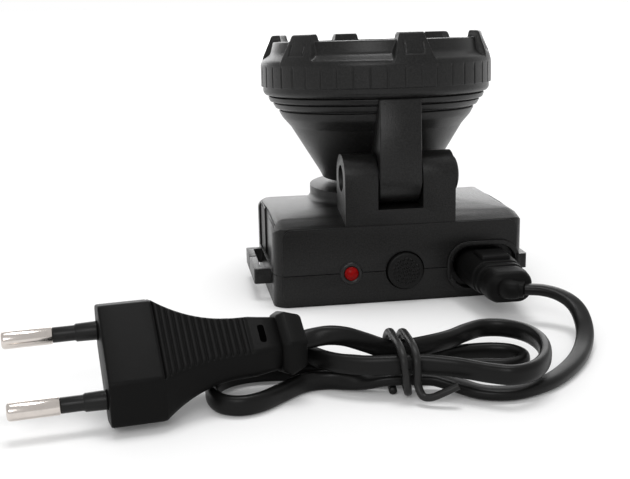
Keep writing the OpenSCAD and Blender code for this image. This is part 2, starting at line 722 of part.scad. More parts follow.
// The three rings above the cone, each [lower radius, upper radius, lower height, upper height].
rings = [[bezel_r - 6.4, bezel_r - 5.3, 53.4, 55.7], [bezel_r - 4.5, bezel_r - 3.5, 56.3, 58.1],
    [bezel_r - 2.7, bezel_r - 2, 58.5, 60.2]];
ring_groove = 0.8;

// The rings' outline from the cone up to the barrel, with a groove between each two.
function ring_profile() = [for (i = [0:2])
    let (inward = i < 2 ? rings[i][1] - ring_groove : barrel_r, next = i < 2 ? rings[i + 1][2] : barrel_top)
    each [[rings[i][0], rings[i][2]], [rings[i][1], rings[i][3]], [inward, rings[i][3]], [inward, next]]];

// The arm's side view as [y, z] before the head leans: straight front, round foot.
module arm_side() {
    difference() {
        union() {
            translate([pivot_y, pivot_h]) circle(r = arm_r, $fn = 64);
            translate([pivot_y - arm_r, pivot_h]) square([2 * arm_r, barrel_z - pivot_h + 0.3]);
        }
        translate([pivot_y - arm_r - 1, barrel_z + 0.3]) square([3 * arm_r, arm_r]);
    }
}

module lamp_housing() {
    color(black) difference() {
        union() {
            on_head() turned(concat([[0, tail_z], [cone_low_r - 5.4, tail_z],
                [cone_low_r - 2.2, tail_z + 0.8], [cone_low_r - 0.9, tail_z + 1.3],
                [cone_low_r, cone_low_z], [cone_top_r, cone_top_z]],
                ring_profile(), [[0, barrel_top]]));
            translate([0, pivot_y, pivot_h]) rotate([-head_lean, 0, 0])
                translate([-arm_w / 2, -pivot_y, -pivot_h])
                rotate([90, 0, 90]) linear_extrude(arm_w) arm_side();
        }
        on_head() turned([[0, floor_z], [cone_low_r - head_wall - 0.8, floor_z],
            [cone_low_r - head_wall, cone_low_z + 1], [cone_top_r - head_wall, cone_top_z + 1],
            [rings[0][0] - head_wall, rings[0][2] + 1], [barrel_r - head_wall, barrel_z + 0.5],
            [barrel_r - head_wall, barrel_top + 1], [0, barrel_top + 1]]);
        pin_x(bolt_d / 2 + bolt_gap, -arm_w, arm_w);
    }
}

module heat_sink() {
    r = cone_low_r - head_wall - 1.2;
    color([0.75, 0.76, 0.78]) on_head() difference() {
        translate([0, 0, floor_z]) cylinder(r = r, h = sink_t + 0.2, $fn = fine);
        for (x = [-9:3:9]) translate([x - 0.6, -r, floor_z - 1]) cube([1.2, 2 * r, sink_t - 1]);
        for (a = board_screws_at) rotate(a) translate([board_screw_r, 0, floor_z + 1])
            cylinder(r = 1, h = sink_t, $fn = 32);
    }
}

module led_board() {
    color([0.85, 0.86, 0.88]) on_head() difference() {
        translate([0, 0, board_z]) cylinder(r = board_r, h = board_t, $fn = fine);
        for (a = board_screws_at) rotate(a) translate([board_screw_r, 0, board_z - 1])
            cylinder(r = 1.1, h = 4, $fn = 32);
    }
}

module led_emitter() {
    z = board_z + board_t;
    color([0.95, 0.9, 0.55]) on_head() {
        translate([-3.5, -3.5, z]) cube([7, 7, 0.9]);
        intersection() {
            translate([0, 0, z + 0.9 - 1.2]) sphere(r = emitter_r + 0.3, $fn = 48);
            translate([0, 0, z + 0.9]) cylinder(r = emitter_r, h = 5, $fn = 48);
        }
    }
}

module board_screws() {
    color([0.6, 0.6, 0.62]) on_head() for (a = board_screws_at) rotate(a) translate([board_screw_r, 0, 0]) {
        translate([0, 0, board_z + board_t]) cylinder(r = 1.8, h = 1.1, $fn = 32);
        translate([0, 0, floor_z + 1.4]) cylinder(r = 0.98, h = sink_t + board_t, $fn = 32);
    }
}

// A bowl whose height is r squared over four times the focal length, with a rim on the barrel.
module reflector() {
    steps = 22;
    inner = [for (i = [0:steps]) let (r = reflector_hole + (bowl_r - reflector_hole) * i / steps)
        [r, reflector_z + (r * r - reflector_hole * reflector_hole) / (4 * focus)]];
    top = inner[steps][1];
    outer = [for (i = [steps:-1:1])
        [inner[i - 1][0] + 0.9 * reflector_t, inner[i - 1][1] - 0.5 * reflector_t * (1 - (i - 1) / steps)]];
    color([0.85, 0.86, 0.88]) on_head() turned(concat(inner, [[inner[steps][0], lens_z],
        [barrel_r - 0.3, lens_z], [barrel_r - 0.3, barrel_top], [reflector_rim + 0.1, barrel_top]], outer));
}

module lens() {
    color([0.8, 0.85, 0.88, 0.4]) on_head() translate([0, 0, lens_z])
        cylinder(r = lens_r, h = lens_t, $fn = fine);
}

module lens_gasket() {
    color(dark) on_head() difference() {
        translate([0, 0, lens_z + lens_t]) cylinder(r = lens_r, h = gasket_t, $fn = fine);
        translate([0, 0, lens_z]) cylinder(r = light_r, h = 9, $fn = fine);
    }
}

// ---------- bezel ----------

module bezel_ring() {
    thread_r = barrel_r + bezel_gap;
    skirt_r = bezel_r - skirt_inset;
    color(black) on_head() {
        difference() {
            turned([[thread_r, skirt_z], [skirt_r - 1, skirt_z], [skirt_r, skirt_z + 1.2],
                [skirt_r, band_low], [bezel_r, band_low], [bezel_r, pad_top + 0.5],
                [bezel_r - 0.4, band_top], [ledge_r, ledge_z],
                [ring_r, ring_z], [light_r + 0.4, ring_z], [light_r, lip_z],
                [lens_r + 0.3, lip_z], [lens_r + 0.3, lens_z + 0.1], [thread_r, lens_z + 0.1]]);
            for (i = [0:pad_count - 1]) rotate(360 * i / pad_count)
                translate([bezel_r - pad_depth, -pad_groove / 2, band_low - 1])
                cube([2, pad_groove, pad_top - band_low + 1]);
        }
        for (i = [0:lug_count - 1]) rotate(lug_first + 360 * i / lug_count) lug();
    }
}

// One castellation: a trapezoid from outside, leaning in from the ledge to the ring.
module lug() {
    intersection() {
        rotate([90, 0, 90]) translate([0, 0, light_r - 1]) linear_extrude(12)
            polygon([[-lug_base / 2, band_top - 0.5], [lug_base / 2, band_top - 0.5],
                [lug_tip / 2, lug_z], [-lug_tip / 2, lug_z]]);
        turned([[light_r + 0.6, lip_z + 0.6], [lens_r + 0.9, lip_z + 0.6], [lens_r + 0.9, lens_z + 0.5],
            [bezel_r - 1.5, band_top - 0.5], [bezel_r - 0.3, band_top], [bezel_r - 0.5, band_top + 1],
            [ring_r + 0.8, lug_z], [light_r + 0.6, lug_z]]);
    }
}

// ---------- button ----------

module mode_button() {
    tip = inlet_y - button_proud;
    dot = 0.4;
    color(dark) {
        pin_y(button_x, ctrl_h, button_r, tip + 0.5, inner_face_y + flange_gap);
        pin_y(button_x, ctrl_h, button_r - 0.5, tip, tip + 0.5);
        pin_y(button_x, ctrl_h, button_r + 1.1, inner_face_y + flange_gap, inner_face_y + flange_gap + 0.8);
        for (ring = [0:3]) for (k = [0:max(0, 6 * ring - 1)])
            let (a = ring == 0 ? 0 : 360 * k / (6 * ring) + 15 * ring)
            pin_y(button_x + 1.25 * ring * cos(a), ctrl_h + 1.25 * ring * sin(a), dot, tip - 0.25, tip);
    }
}

module switch_plunger() {
    y0 = inner_face_y + flange_gap + 0.8;
    color([0.7, 0.68, 0.6]) pin_y(button_x, ctrl_h, plunger_r, y0, y0 + 5.2);
}

// ---------- mains lead ----------

// The connector's sections along its length: [distance behind its front, half-width, half-height].
grip_stations = [[0, 8.25, 5.1], [7, 8.25, 5.1], [14.5, 7.7, 4.9], [16, 7.6, 4.85], [16, 7, 4.3],
    [17.2, 7, 4.3], [17.2, 7.4, 4.75], [19.2, 7.2, 4.65], [19.2, 6.6, 4.1], [20.4, 6.6, 4.1],
    [20.4, 6.9, 4.5], [22.6, 6.6, 4.4], [22.6, 7, 4.7], [26, 6.6, 4.5], [27.5, 5.8, 3.9]];

function grip_section(s) = let (r = min(s[1], s[2]) * 0.86, n = 6) [for (q = [0:3]) for (k = [0:n - 1])
    let (a = 90 * q + 90 * k / (n - 1), sx = q == 0 || q == 3 ? 1 : -1, sz = q < 2 ? 1 : -1)
    [inlet_x + sx * (s[1] - r) + r * cos(a), grip_front_y - s[0], ctrl_h + sz * (s[2] - r) + r * sin(a)]];

module connector_grip() {
    color(black) {
        skin([for (s = grip_stations) grip_section(s)]);
        translate([inlet_x - 4.4, grip_front_y - 14.5, ctrl_h + 3]) cube([8.8, 9, 3.2]);
        translate([inlet_x, grip_rear_y, ctrl_h]) rotate([0, 0, exit_turn]) {
            along_y(-sleeve_reach, 0) rounded(cord_w + 1.2, cord_t + 1.2, 2);
            cylinder(r = cord_w / 2 + 0.6, h = cord_t + 1.2, center = true, $fn = 32);
        }
    }
}

module connector_nose() {
    color(black) translate([inlet_x, 0, ctrl_h]) difference() {
        along_y(grip_front_y, grip_front_y + nose_l) nose_section(0);
        for (s = [-1, 1]) {
            pin_y(s * pin_pitch / 2, 0, contact_r, grip_front_y - 1, grip_front_y + contact_l);
            pin_y(s * pin_pitch / 2, 0, inlet_pin_d / 2 + pin_gap, grip_front_y, grip_front_y + nose_l + 1);
        }
    }
}

module connector_contacts() {
    color([0.8, 0.7, 0.4]) translate([inlet_x, 0, ctrl_h]) for (s = [-1, 1]) difference() {
        pin_y(s * pin_pitch / 2, 0, contact_r, grip_front_y, grip_front_y + contact_l);
        pin_y(s * pin_pitch / 2, 0, inlet_pin_d / 2 + pin_gap, grip_front_y + 0.6, grip_front_y + nose_l);
    }
}

module lead_cord() {
    color(dark) tube(free_path, cord_w / 2, cord_t / 2, 8);
}

module cord_hank() {
    color(dark) tube(hank_path, cord_w / 2, cord_t / 2, 6);
    echo(free_length = length_of(free_path), hank_length = length_of(hank_path));
    echo(least_gap = least_gap(hank_path, 12));
}

module cord_tie() {
    color(black) tube(smooth(tie_route, 3), tie_r, tie_r, 6);
}

module plug_body() {
    end = [7.6, 4.4, 4.6];
    block = [16.8, 10.5, 7.4];
    last = plug_block + plug_ribs * plug_rib_pitch;
    ribbed = [for (i = [0:2 * plug_ribs]) let (t = i / (2 * plug_ribs), rib = i % 2 == 0 ? plug_rib : 0)
        hex_section(plug_block + i * plug_rib_pitch / 2, taper(block[0] - 0.4, end[0] + 1, t),
            taper(block[1], end[1] + 0.6, t),
            taper(block[2], end[2] + 0.2, t) - rib * (i == 0 ? plug_groove : 1))];
    color(black) on_plug() difference() {
        union() {
            skin(concat([hex_section(0, block[0], block[1], block[2]),
                hex_section(plug_block - 0.5, block[0], block[1], block[2])], ribbed,
                [hex_section(last + 0.8, end[0] + 0.9, end[1] + 0.6, end[2] + 0.2),
                hex_section(flange_x + 1, end[0] - 0.6, end[1] - 0.2, end[2])]));
            skin([hex_section(flange_x, 8, 4.2, 5.3), hex_section(flange_x + 2, 9, 4.5, 5.9),
                hex_section(plug_end, 7.4, 3.8, 5)]);
        }
        translate([neck_x, -2.4, 2.4]) cube([2.2, 4.8, 9]);
    }
}

module plug_pins() {
    r = plug_pin_d / 2;
    tip = sleeve_l + plug_pin_l;
    color([0.8, 0.8, 0.78]) on_plug() for (s = [-1, 1])
        translate([0, s * plug_pitch / 2, 0]) rotate([0, -90, 0])
        turned([[0, sleeve_l], [r, sleeve_l], [r, tip - 0.8], [r - 0.25, tip - 0.25],
            [r - 0.8, tip], [0, tip]]);
}

module pin_sleeves() {
    color(dark) on_plug() for (s = [-1, 1]) translate([0, s * plug_pitch / 2, 0]) rotate([0, -90, 0]) {
        cylinder(r = sleeve_d / 2, h = sleeve_l, $fn = 48);
        cylinder(r = sleeve_d / 2 + 0.35, h = sleeve_l / 2, $fn = 48);
    }
}

front_shell();
back_cover();
case_screws();
battery_cell();
battery_tabs();
charger_board();
board_parts();
switch_body();
led_ring();
charge_led();
inlet_socket();
inlet_pins();
pivot_bolt();
pivot_nut();
friction_washers();
lamp_housing();
heat_sink();
led_board();
led_emitter();
board_screws();
reflector();
lens();
lens_gasket();
bezel_ring();
mode_button();
switch_plunger();
connector_grip();
connector_nose();
connector_contacts();
lead_cord();
cord_hank();
cord_tie();
plug_body();
plug_pins();
pin_sleeves();
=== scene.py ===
"""Looks of the miner's cap lamp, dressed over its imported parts. Lengths in mm are scaled once, by MM."""

import math

import bmesh
import bpy
import numpy as np
from mathutils import Matrix, Vector


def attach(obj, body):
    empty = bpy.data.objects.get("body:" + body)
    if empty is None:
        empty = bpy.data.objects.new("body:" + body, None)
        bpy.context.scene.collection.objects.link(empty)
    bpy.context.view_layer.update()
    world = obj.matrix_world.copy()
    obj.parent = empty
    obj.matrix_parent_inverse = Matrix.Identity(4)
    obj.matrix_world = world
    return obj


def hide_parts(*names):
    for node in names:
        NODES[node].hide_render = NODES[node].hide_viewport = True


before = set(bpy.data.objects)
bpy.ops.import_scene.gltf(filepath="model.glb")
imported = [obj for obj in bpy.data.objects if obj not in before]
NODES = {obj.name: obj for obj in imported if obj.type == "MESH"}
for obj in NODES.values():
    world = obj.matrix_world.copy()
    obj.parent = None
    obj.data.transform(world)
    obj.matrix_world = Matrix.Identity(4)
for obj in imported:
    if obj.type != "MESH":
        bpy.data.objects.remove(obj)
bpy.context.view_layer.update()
MM = 0.001

# ---------- camera ----------

CAMERA_PLACE = (-0.0691, -0.3157, 0.0916)
CAMERA_DOWN, CAMERA_YAW, CAMERA_ROLL = (math.radians(a) for a in (13.59, 8.46, 1.24))
CAMERA_LENS = 59.18


def camera():
    """The view along d = (sin yaw cos down, cos yaw cos down, -sin down), rolled about d."""
    along = math.cos(CAMERA_DOWN)
    ahead = Vector((math.sin(CAMERA_YAW) * along, math.cos(CAMERA_YAW) * along, -math.sin(CAMERA_DOWN)))
    level = Vector((math.cos(CAMERA_YAW), -math.sin(CAMERA_YAW), 0))
    rise = level.cross(ahead)
    right = level * math.cos(CAMERA_ROLL) - rise * math.sin(CAMERA_ROLL)
    up = rise * math.cos(CAMERA_ROLL) + level * math.sin(CAMERA_ROLL)
    data = bpy.data.cameras.new("view")
    data.lens, data.sensor_width, data.clip_start = CAMERA_LENS, 36, 0.01
    eye = bpy.data.objects.new("view", data)
    bpy.context.scene.collection.objects.link(eye)
    turn = Matrix((right, up, -ahead)).transposed().to_4x4()
    eye.matrix_world = Matrix.Translation(CAMERA_PLACE) @ turn
    bpy.context.scene.camera = eye


camera()
bpy.context.scene.view_settings.view_transform = "Standard"

# ---------- shader expressions ----------


class Value:
    """A socket in a material; arithmetic on it adds Math nodes."""

    def __init__(self, tree, socket):
        self.tree, self.socket = tree, socket

    def maths(self, operation, *others):
        """A Math node on this value and others."""
        return self.tree.node("ShaderNodeMath", {"operation": operation}, self, *others)

    def __add__(self, other):
        return self.maths("ADD", other)

    def __mul__(self, other):
        return self.maths("MULTIPLY", other)

    def __sub__(self, other):
        return self.maths("SUBTRACT", other)

    def __rsub__(self, other):
        return self * -1.0 + other

    __radd__, __rmul__ = __add__, __mul__

    def between(self, low, high):
        """0 below low, 1 above high, smooth between."""
        return self.tree.node("ShaderNodeMapRange", {"interpolation_type": "SMOOTHSTEP"}, self, low, high)


class Finish:
    """A material or a world, with its shader ready and one method for every other node."""

    def __init__(self, name, holders=bpy.data.materials, shader="Principled BSDF"):
        self.made = holders.new(name)
        self.made.use_nodes = True
        self.links = self.made.node_tree.links
        self.nodes = self.made.node_tree.nodes
        self.shader = self.nodes[shader]

    def node(self, kind, settings=None, *values, out=0, **named):
        """Adds a node: its settings first, then its inputs by order or by name; gives one output."""
        made = self.nodes.new(kind)
        for key, value in (settings or {}).items():
            setattr(made, key, value)
        for i, value in enumerate(values):
            self.feed(made.inputs[i], value)
        for key, value in named.items():
            self.feed(made.inputs[key.replace("_", " ")], value)
        return Value(self, made.outputs[out])

    def feed(self, socket, value):
        """Links a value to a socket, or sets the socket to a number or colour; None leaves it."""
        if isinstance(value, Value):
            self.links.new(value.socket, socket)
        elif value is not None:
            socket.default_value = value

    def set(self, **inputs):
        """Sets or links the shader's own sockets."""
        for key, value in inputs.items():
            self.feed(self.shader.inputs[key.replace("_", " ")], value)
        return self

    def place(self):
        """Where on the piece, in metres."""
        return self.node("ShaderNodeTexCoord", out=3)

    def noise(self, scale, detail=2.0, rough=0.5, at=None):
        """Soft random cloud, lumps about 1/scale metres across."""
        return self.node("ShaderNodeTexNoise", Vector=at or self.place(), Scale=scale, Detail=detail,
                         Roughness=rough)

    def mix(self, mask, one, other):
        """Colour one where the mask is 0, other where it is 1. Inputs 1 to 5 serve the node's other kinds."""
        return self.node("ShaderNodeMix", {"data_type": "RGBA"}, mask, *[None] * 5, one, other, out=2)

    def bump(self, height, depth, strength=1.0, normal=None):
        """A Bump node: height from 0 to 1 stands depth metres proud."""
        return self.node("ShaderNodeBump", Strength=strength, Distance=depth, Height=height, Normal=normal)


def grey(value, warm=0.0):
    """A near-neutral colour, a little warm."""
    return (value * (1 + warm), value, value * (1 - warm), 1)


def moulded(name, dark, light, rough, grain, depth, warm=0.02, scuff=0.12, gloss=0.3):
    """Moulded plastic: two near shades in clouds and grains, the grains raised, and faint rubbed patches."""
    f = Finish(name)
    clouds = f.noise(55, 3)
    fleck = f.noise(grain, 3, 0.7)
    rub = f.noise(160, 4, 0.65).between(0.5, 0.78)
    shade = clouds * 0.3 + fleck.between(0.3, 0.7) * 0.7
    f.set(Base_Color=f.mix(shade, grey(dark, warm), grey(light, warm)), Specular_IOR_Level=gloss,
          Roughness=clouds * 0.06 + fleck * 0.08 + (rough - 0.07) - rub * scuff,
          Normal=f.bump(fleck, depth, 0.9))
    return f.made


def metal(name, colour, rough, along="Z", lines=900.0, depth=0.00001, tarnish=0.3):
    """Turned or plated metal: fine lines, dull clouds and small pits."""
    f = Finish(name)
    stretch = {"X": (0.06, 1, 1), "Y": (1, 0.06, 1), "Z": (1, 1, 0.06)}[along]
    drawn = f.node("ShaderNodeVectorMath", {"operation": "MULTIPLY"}, f.place(), stretch)
    streak = f.noise(lines, 3, 0.6, drawn)
    dull = f.noise(420, 4, 0.6).between(0.45, 0.75)
    worn = tuple(c * 0.72 for c in colour[:3]) + (1,)
    f.set(Metallic=1.0, Base_Color=f.mix(dull * tarnish, colour, worn),
          Roughness=dull * 0.12 + streak * 0.08 + rough, Normal=f.bump(streak, depth, 0.5))
    return f.made


def translucent(name, colour, rough, weight, ior=1.5):
    """Clear plastic, with faint haze and dust on it."""
    f = Finish(name)
    dust = f.noise(700, 4, 0.7).between(0.55, 0.8)
    f.set(Base_Color=f.mix(dust, colour, tuple(c * 0.8 + 0.1 for c in colour[:3]) + (1,)),
          Roughness=dust * 0.1 + rough, Transmission_Weight=weight, IOR=ior,
          Normal=f.bump(f.noise(90, 1), 0.00003, 0.3))
    return f.made


def charge_red():
    """The charge light's red dome: deep red with lighter clouds."""
    f = Finish("charge_red")
    glow = f.noise(900, 2)
    f.set(Base_Color=f.mix(glow, (0.1, 0.0001, 0.0001, 1), (0.3, 0.0004, 0.0004, 1)),
          Roughness=glow * 0.08 + 0.3, Specular_IOR_Level=0.1, Normal=f.bump(glow, 0.00002, 0.3))
    return f.made


def board(name, base, copper):
    """Circuit board: tracks as thin wavering bands under the mask."""
    f = Finish(name)
    waves = f.node("ShaderNodeTexWave", {"wave_type": "BANDS", "bands_direction": "X"}, Vector=f.place(),
                   Scale=220.0, Distortion=6.0, Detail=1.0, out=1)
    tracks = waves.between(0.55, 0.62)
    f.set(Base_Color=f.mix(tracks, base, copper), Roughness=tracks * 0.1 + 0.35,
          Normal=f.bump(tracks, 0.00003, 0.6))
    return f.made


def phosphor():
    """The light chip's silicone: yellow grains."""
    f = Finish("phosphor_silicone")
    grains = f.noise(2600, 2)
    f.set(Base_Color=f.mix(grains, (0.75, 0.55, 0.06, 1), (0.95, 0.8, 0.25, 1)), Roughness=grains * 0.2 + 0.4,
          Normal=f.bump(grains, 0.00002, 0.5))
    return f.made


ABS = moulded("black_abs", 0.001, 0.014, 0.33, 2200, 0.00009, scuff=0.05, gloss=0.22)
ABS_HEAD = moulded("black_abs_head", 0.001, 0.014, 0.33, 2200, 0.00007, scuff=0.06, gloss=0.25)
PVC = moulded("plug_pvc", 0.0028, 0.0045, 0.48, 6800, 0.00003, scuff=0.04, gloss=0.08)
CORD = moulded("cord_pvc", 0.003, 0.005, 0.36, 7400, 0.000012, scuff=0.04, gloss=0.16)
TIE = moulded("tie_pvc", 0.006, 0.01, 0.42, 6000, 0.00001, scuff=0.04, gloss=0.25)
RUBBER = moulded("button_rubber", 0.004, 0.007, 0.45, 5200, 0.00001, scuff=0.05, gloss=0.15)
DARK = moulded("dark_satin", 0.008, 0.012, 0.3, 5600, 0.00002)
SLEEVE = moulded("sleeve_satin", 0.005, 0.008, 0.38, 6400, 0.00001, scuff=0.08, gloss=0.2)
NICKEL = metal("nickel_plate", (0.66, 0.61, 0.57, 1), 0.14, "X", 700)
STEEL = metal("zinc_steel", (0.55, 0.56, 0.58, 1), 0.3, "Z", 500)
ALUMINIUM = metal("milled_aluminium", (0.72, 0.73, 0.75, 1), 0.32, "X", 900)
BRASS = metal("contact_brass", (0.72, 0.55, 0.25, 1), 0.28, "Y", 800)
MIRROR = metal("reflector_mirror", (0.88, 0.89, 0.9, 1), 0.05, "Z", 300, 0.000004, 0.1)
LENS = translucent("lens_clear", (0.97, 0.985, 1.0, 1), 0.03, 1.0, 1.57)
RED = charge_red()
GREEN = board("board_green_mask", (0.01, 0.12, 0.05, 1), (0.02, 0.2, 0.08, 1))
WHITE = board("board_white_mask", (0.78, 0.79, 0.8, 1), (0.7, 0.71, 0.72, 1))
WRAP = moulded("cell_wrap_blue", 0.05, 0.07, 0.3, 3000, 0.00001)
PHOSPHOR = phosphor()

NODE_FINISH = {
    "front_shell": ABS, "back_cover": ABS, "case_screws": STEEL, "battery_cell": WRAP, "battery_tabs": NICKEL,
    "charger_board": GREEN, "board_parts": DARK, "switch_body": DARK, "led_ring": DARK, "charge_led": RED,
    "inlet_socket": ABS, "inlet_pins": NICKEL, "pivot_bolt": ABS_HEAD, "pivot_nut": STEEL,
    "friction_washers": STEEL, "lamp_housing": ABS_HEAD, "heat_sink": ALUMINIUM, "led_board": WHITE,
    "led_emitter": PHOSPHOR, "board_screws": STEEL, "reflector": MIRROR, "lens": LENS,
    "lens_gasket": RUBBER, "bezel_ring": ABS_HEAD,
    "mode_button": RUBBER, "switch_plunger": DARK, "connector_grip": PVC, "connector_nose": DARK,
    "connector_contacts": BRASS, "lead_cord": CORD, "cord_hank": CORD, "cord_tie": TIE, "plug_body": PVC,
    "plug_pins": NICKEL, "pin_sleeves": SLEEVE,
}
for name, finish in NODE_FINISH.items():
    for holder in NODES[name].material_slots:
        holder.material = finish

# ---------- making pieces ----------


def dressed(name, mesh, finish, body, slot, *replaced):
    """A smooth object of this mesh and finish, riding on its body in place of the nodes it replaces."""
    mesh.polygons.foreach_set("use_smooth", [True] * len(mesh.polygons))
    mesh.materials.clear()
    mesh.materials.append(finish)
    obj = bpy.data.objects.new(name, mesh)
    bpy.context.scene.collection.objects.link(obj)
    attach(obj, body)
    if replaced:
        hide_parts(*replaced)
    return obj


def piece(name, points, faces, finish, body, slot, *replaced):
    """A dressed object of these points (mm) and faces, its doubles merged and its faces turned outwards."""
    mesh = bpy.data.meshes.new(name)
    mesh.from_pydata((np.asarray(points, float).reshape(-1, 3) * MM).tolist(), [], faces)
    shape = bmesh.new()
    shape.from_mesh(mesh)
    bmesh.ops.remove_doubles(shape, verts=shape.verts, dist=2e-6)
    bmesh.ops.recalc_face_normals(shape, faces=shape.faces)
    shape.to_mesh(mesh)
    shape.free()
    return dressed(name, mesh, finish, body, slot, *replaced)


def grid_faces(rows, columns, ring=True, closed=False):
    """Quads between the rows and columns of a grid; ring joins its last column to the first, and closed joins
    its last row to the first."""
    r = np.arange(rows if closed else rows - 1)[:, None]
    c = np.arange(columns if ring else columns - 1)[None, :]
    r2, c2 = (r + 1) % rows, (c + 1) % columns
    quads = np.stack([r * columns + c, r * columns + c2, r2 * columns + c2, r2 * columns + c], -1)
    return quads.reshape(-1, 4).tolist()


def loft(sections):
    """Points and faces of a skin over rings [rows, columns, 3], each end closed by a fan to its middle."""
    sections = np.asarray(sections, float)
    rows, columns = sections.shape[:2]
    points = np.concatenate([sections.reshape(-1, 3), sections[:1].mean(1), sections[-1:].mean(1)])
    c = np.arange(columns)
    after = (c + 1) % columns
    middle, last_row = rows * columns, (rows - 1) * columns
    first = np.stack([np.full(columns, middle), after, c], 1)
    last = np.stack([np.full(columns, middle + 1), c + last_row, after + last_row], 1)
    return points, grid_faces(rows, columns) + first.tolist() + last.tolist()


def joined(*skins):
    """Several skins (points, faces) as one: each skin's faces count on from the points before it."""
    points, faces = [], []
    for skin, quads in skins:
        faces += [[i + len(points) for i in quad] for quad in quads]
        points += skin.reshape(-1, 3).tolist()
    return points, faces


def eased(corners, radius, steps=5, closed=True):
    """An outline with each corner replaced by a short curve that starts and ends radius away from it."""
    p = np.asarray(corners, float)
    before, after = np.roll(p, 1, 0), np.roll(p, -1, 0)
    to_before, to_after = before - p, after - p
    run_in, run_out = np.linalg.norm(to_before, axis=1), np.linalg.norm(to_after, axis=1)
    wanted = np.broadcast_to(np.asarray(radius, float), run_in.shape)
    r = np.minimum(wanted, 0.48 * np.minimum(run_in, run_out))[:, None]
    a, b = p + to_before / run_in[:, None] * r, p + to_after / run_out[:, None] * r
    t = np.linspace(0, 1, steps)[None, :, None]
    curve = (1 - t) ** 2 * a[:, None] + 2 * t * (1 - t) * p[:, None] + t ** 2 * b[:, None]
    if not closed:
        curve[0], curve[-1] = p[0], p[-1]
    return curve.reshape(-1, p.shape[1])


# ---------- the lead ----------

CORD_W, CORD_T = 4.6, 3.0
EXIT = np.array([28.463, -51.721, 9.6])
# Points [x, y, z, roll] of the lead: the free stretch from the exit, then the hank, then its tie [x, y, z].
FREE = [[0, 0, 0, 0], [4.5, -2.1, 0, 0], [8, -5, -0.6, 0], [10.2, -9, -1.8, 0], [10.8, -13.4, -3.6, 0],
        [9.6, -19.6, -6, 0], [6.2, -27, -7.5, 0], [1, -35.3, -7.9, 0], [-5.5, -43, -8, 0],
        [-12, -48.6, -8, 0], [-19.5, -52.2, -8, 0], [-24.5, -52.4, -8, 0], [-29, -50.8, -7.8, 0],
        [-33.2, -47.4, -7.2, 0], [-37.2, -45, -6.4, 0]]
HANK = [[-12.4, -96, 3.5, 0], [-16.5, -95.6, 3.7, 0], [-21, -95, 3.5, 0], [-27, -92.8, 2.8, 60],
        [-33, -90, 2.4, 90], [-39, -90.8, 2.4, 90], [-44.7, -95.6, 2.4, 90], [-49.6, -99.8, 2.4, 90],
        [-54.2, -101.4, 2.4, 90], [-58.4, -99.6, 2.4, 90], [-60.4, -95, 2.4, 90], [-60, -89.4, 2.4, 90],
        [-57.2, -85, 2.4, 90], [-52.4, -82.4, 2.4, 90], [-46, -82, 2.4, 90], [-38, -83.4, 2.4, 90],
        [-31, -85.6, 2.4, 80], [-25.5, -87.6, 2.9, 45], [-21, -89.4, 3.5, 0], [-16.5, -90.3, 3.7, 0],
        [-12, -90.2, 3.5, 0], [-7, -89, 2.8, 45], [-1.8, -88.4, 2.4, 90], [4.8, -89.6, 2.4, 90],
        [10, -90.8, 2.4, 90], [14.2, -89.4, 2.4, 90], [16.2, -85.6, 2.4, 90], [14.6, -81.4, 2.4, 90],
        [10.4, -79.3, 2.4, 90], [5, -78.9, 2.4, 90], [0, -79.4, 2.4, 90], [-6, -81.4, 2.8, 45],
        [-11, -84, 3.5, 0], [-16.5, -85, 3.7, 0], [-22, -83.4, 3.4, 0], [-28, -80.8, 2.8, 45],
        [-34, -79.2, 2.4, 90], [-42, -76.8, 2.4, 90], [-50, -75.4, 2.4, 90], [-57, -74.4, 2.9, 90],
        [-63, -71.8, 3.9, 90], [-66, -66.6, 4.9, 90], [-64.2, -61.2, 5.9, 90], [-59, -59, 6.7, 90],
        [-53, -61, 7.3, 90], [-47.4, -66.8, 7.6, 90], [-42, -75.6, 7.6, 90], [-37.6, -84.6, 7.6, 90],
        [-33, -91.6, 7.6, 90], [-26.8, -95.8, 7.7, 90], [-20.4, -97.8, 8, 90], [-13.4, -98.6, 8, 90],
        [-5.7, -101.6, 7.7, 90], [0.6, -106, 7.5, 90], [5.4, -108.4, 7.5, 90], [10.6, -106.8, 7.5, 90],
        [14.8, -102.2, 7.5, 90], [17.8, -95.8, 7.5, 90], [19.2, -88.6, 7.5, 90], [18.2, -81.6, 7.5, 90],
        [14.2, -76.8, 7.5, 90], [8.8, -75.6, 7.5, 90], [3.6, -78.2, 7.5, 90], [-1.8, -82.4, 7.6, 90],
        [-8.2, -86.2, 8, 90], [-14, -88, 8.1, 90], [-19, -88.6, 8.6, 90], [-24, -88.7, 10.6, 90],
        [-28.5, -88.7, 12.3, 90], [-32.4, -88.6, 12.9, 80], [-35.9, -88.5, 12.6, 58]]
TIE_ROUTE = [[-6.2, -106, 5], [-9, -105.6, 3.6], [-12, -104.8, 2.2], [-13.8, -103.6, 2.2],
             [-14.6, -102.2, 4.4], [-14.6, -101.8, 7.4], [-14.6, -100.8, 10.2], [-14.6, -97.4, 12],
             [-14.4, -92, 12], [-14.2, -86, 11.6], [-14, -82, 9.4], [-14, -80.6, 5.6], [-14.1, -81, 2.4],
             [-14.5, -84.2, 1], [-15, -91, 1], [-15.7, -97, 1], [-16.5, -100.4, 2.4], [-17.1, -101.7, 6],
             [-17.6, -101.2, 10.2], [-17.7, -97.4, 12.1], [-17.6, -92, 12.2], [-17.4, -86, 11.9],
             [-17.3, -82, 9.4], [-17.3, -80.6, 5.6], [-17.4, -81, 2.4], [-17.8, -84.2, 1], [-18.4, -91, 1],
             [-19, -96.4, 1]]
TIE_BROAD, TIE_THICK = 1.9, 1.7

# The plug's own frame: X from its front face back along the lead, Y across, Z through.
PLUG_FRONT, PLUG_YAW, PLUG_ROLL = np.array([-84.3, -95.2, 12.2]), math.radians(8), math.radians(36)
PLUG_END = 45.5


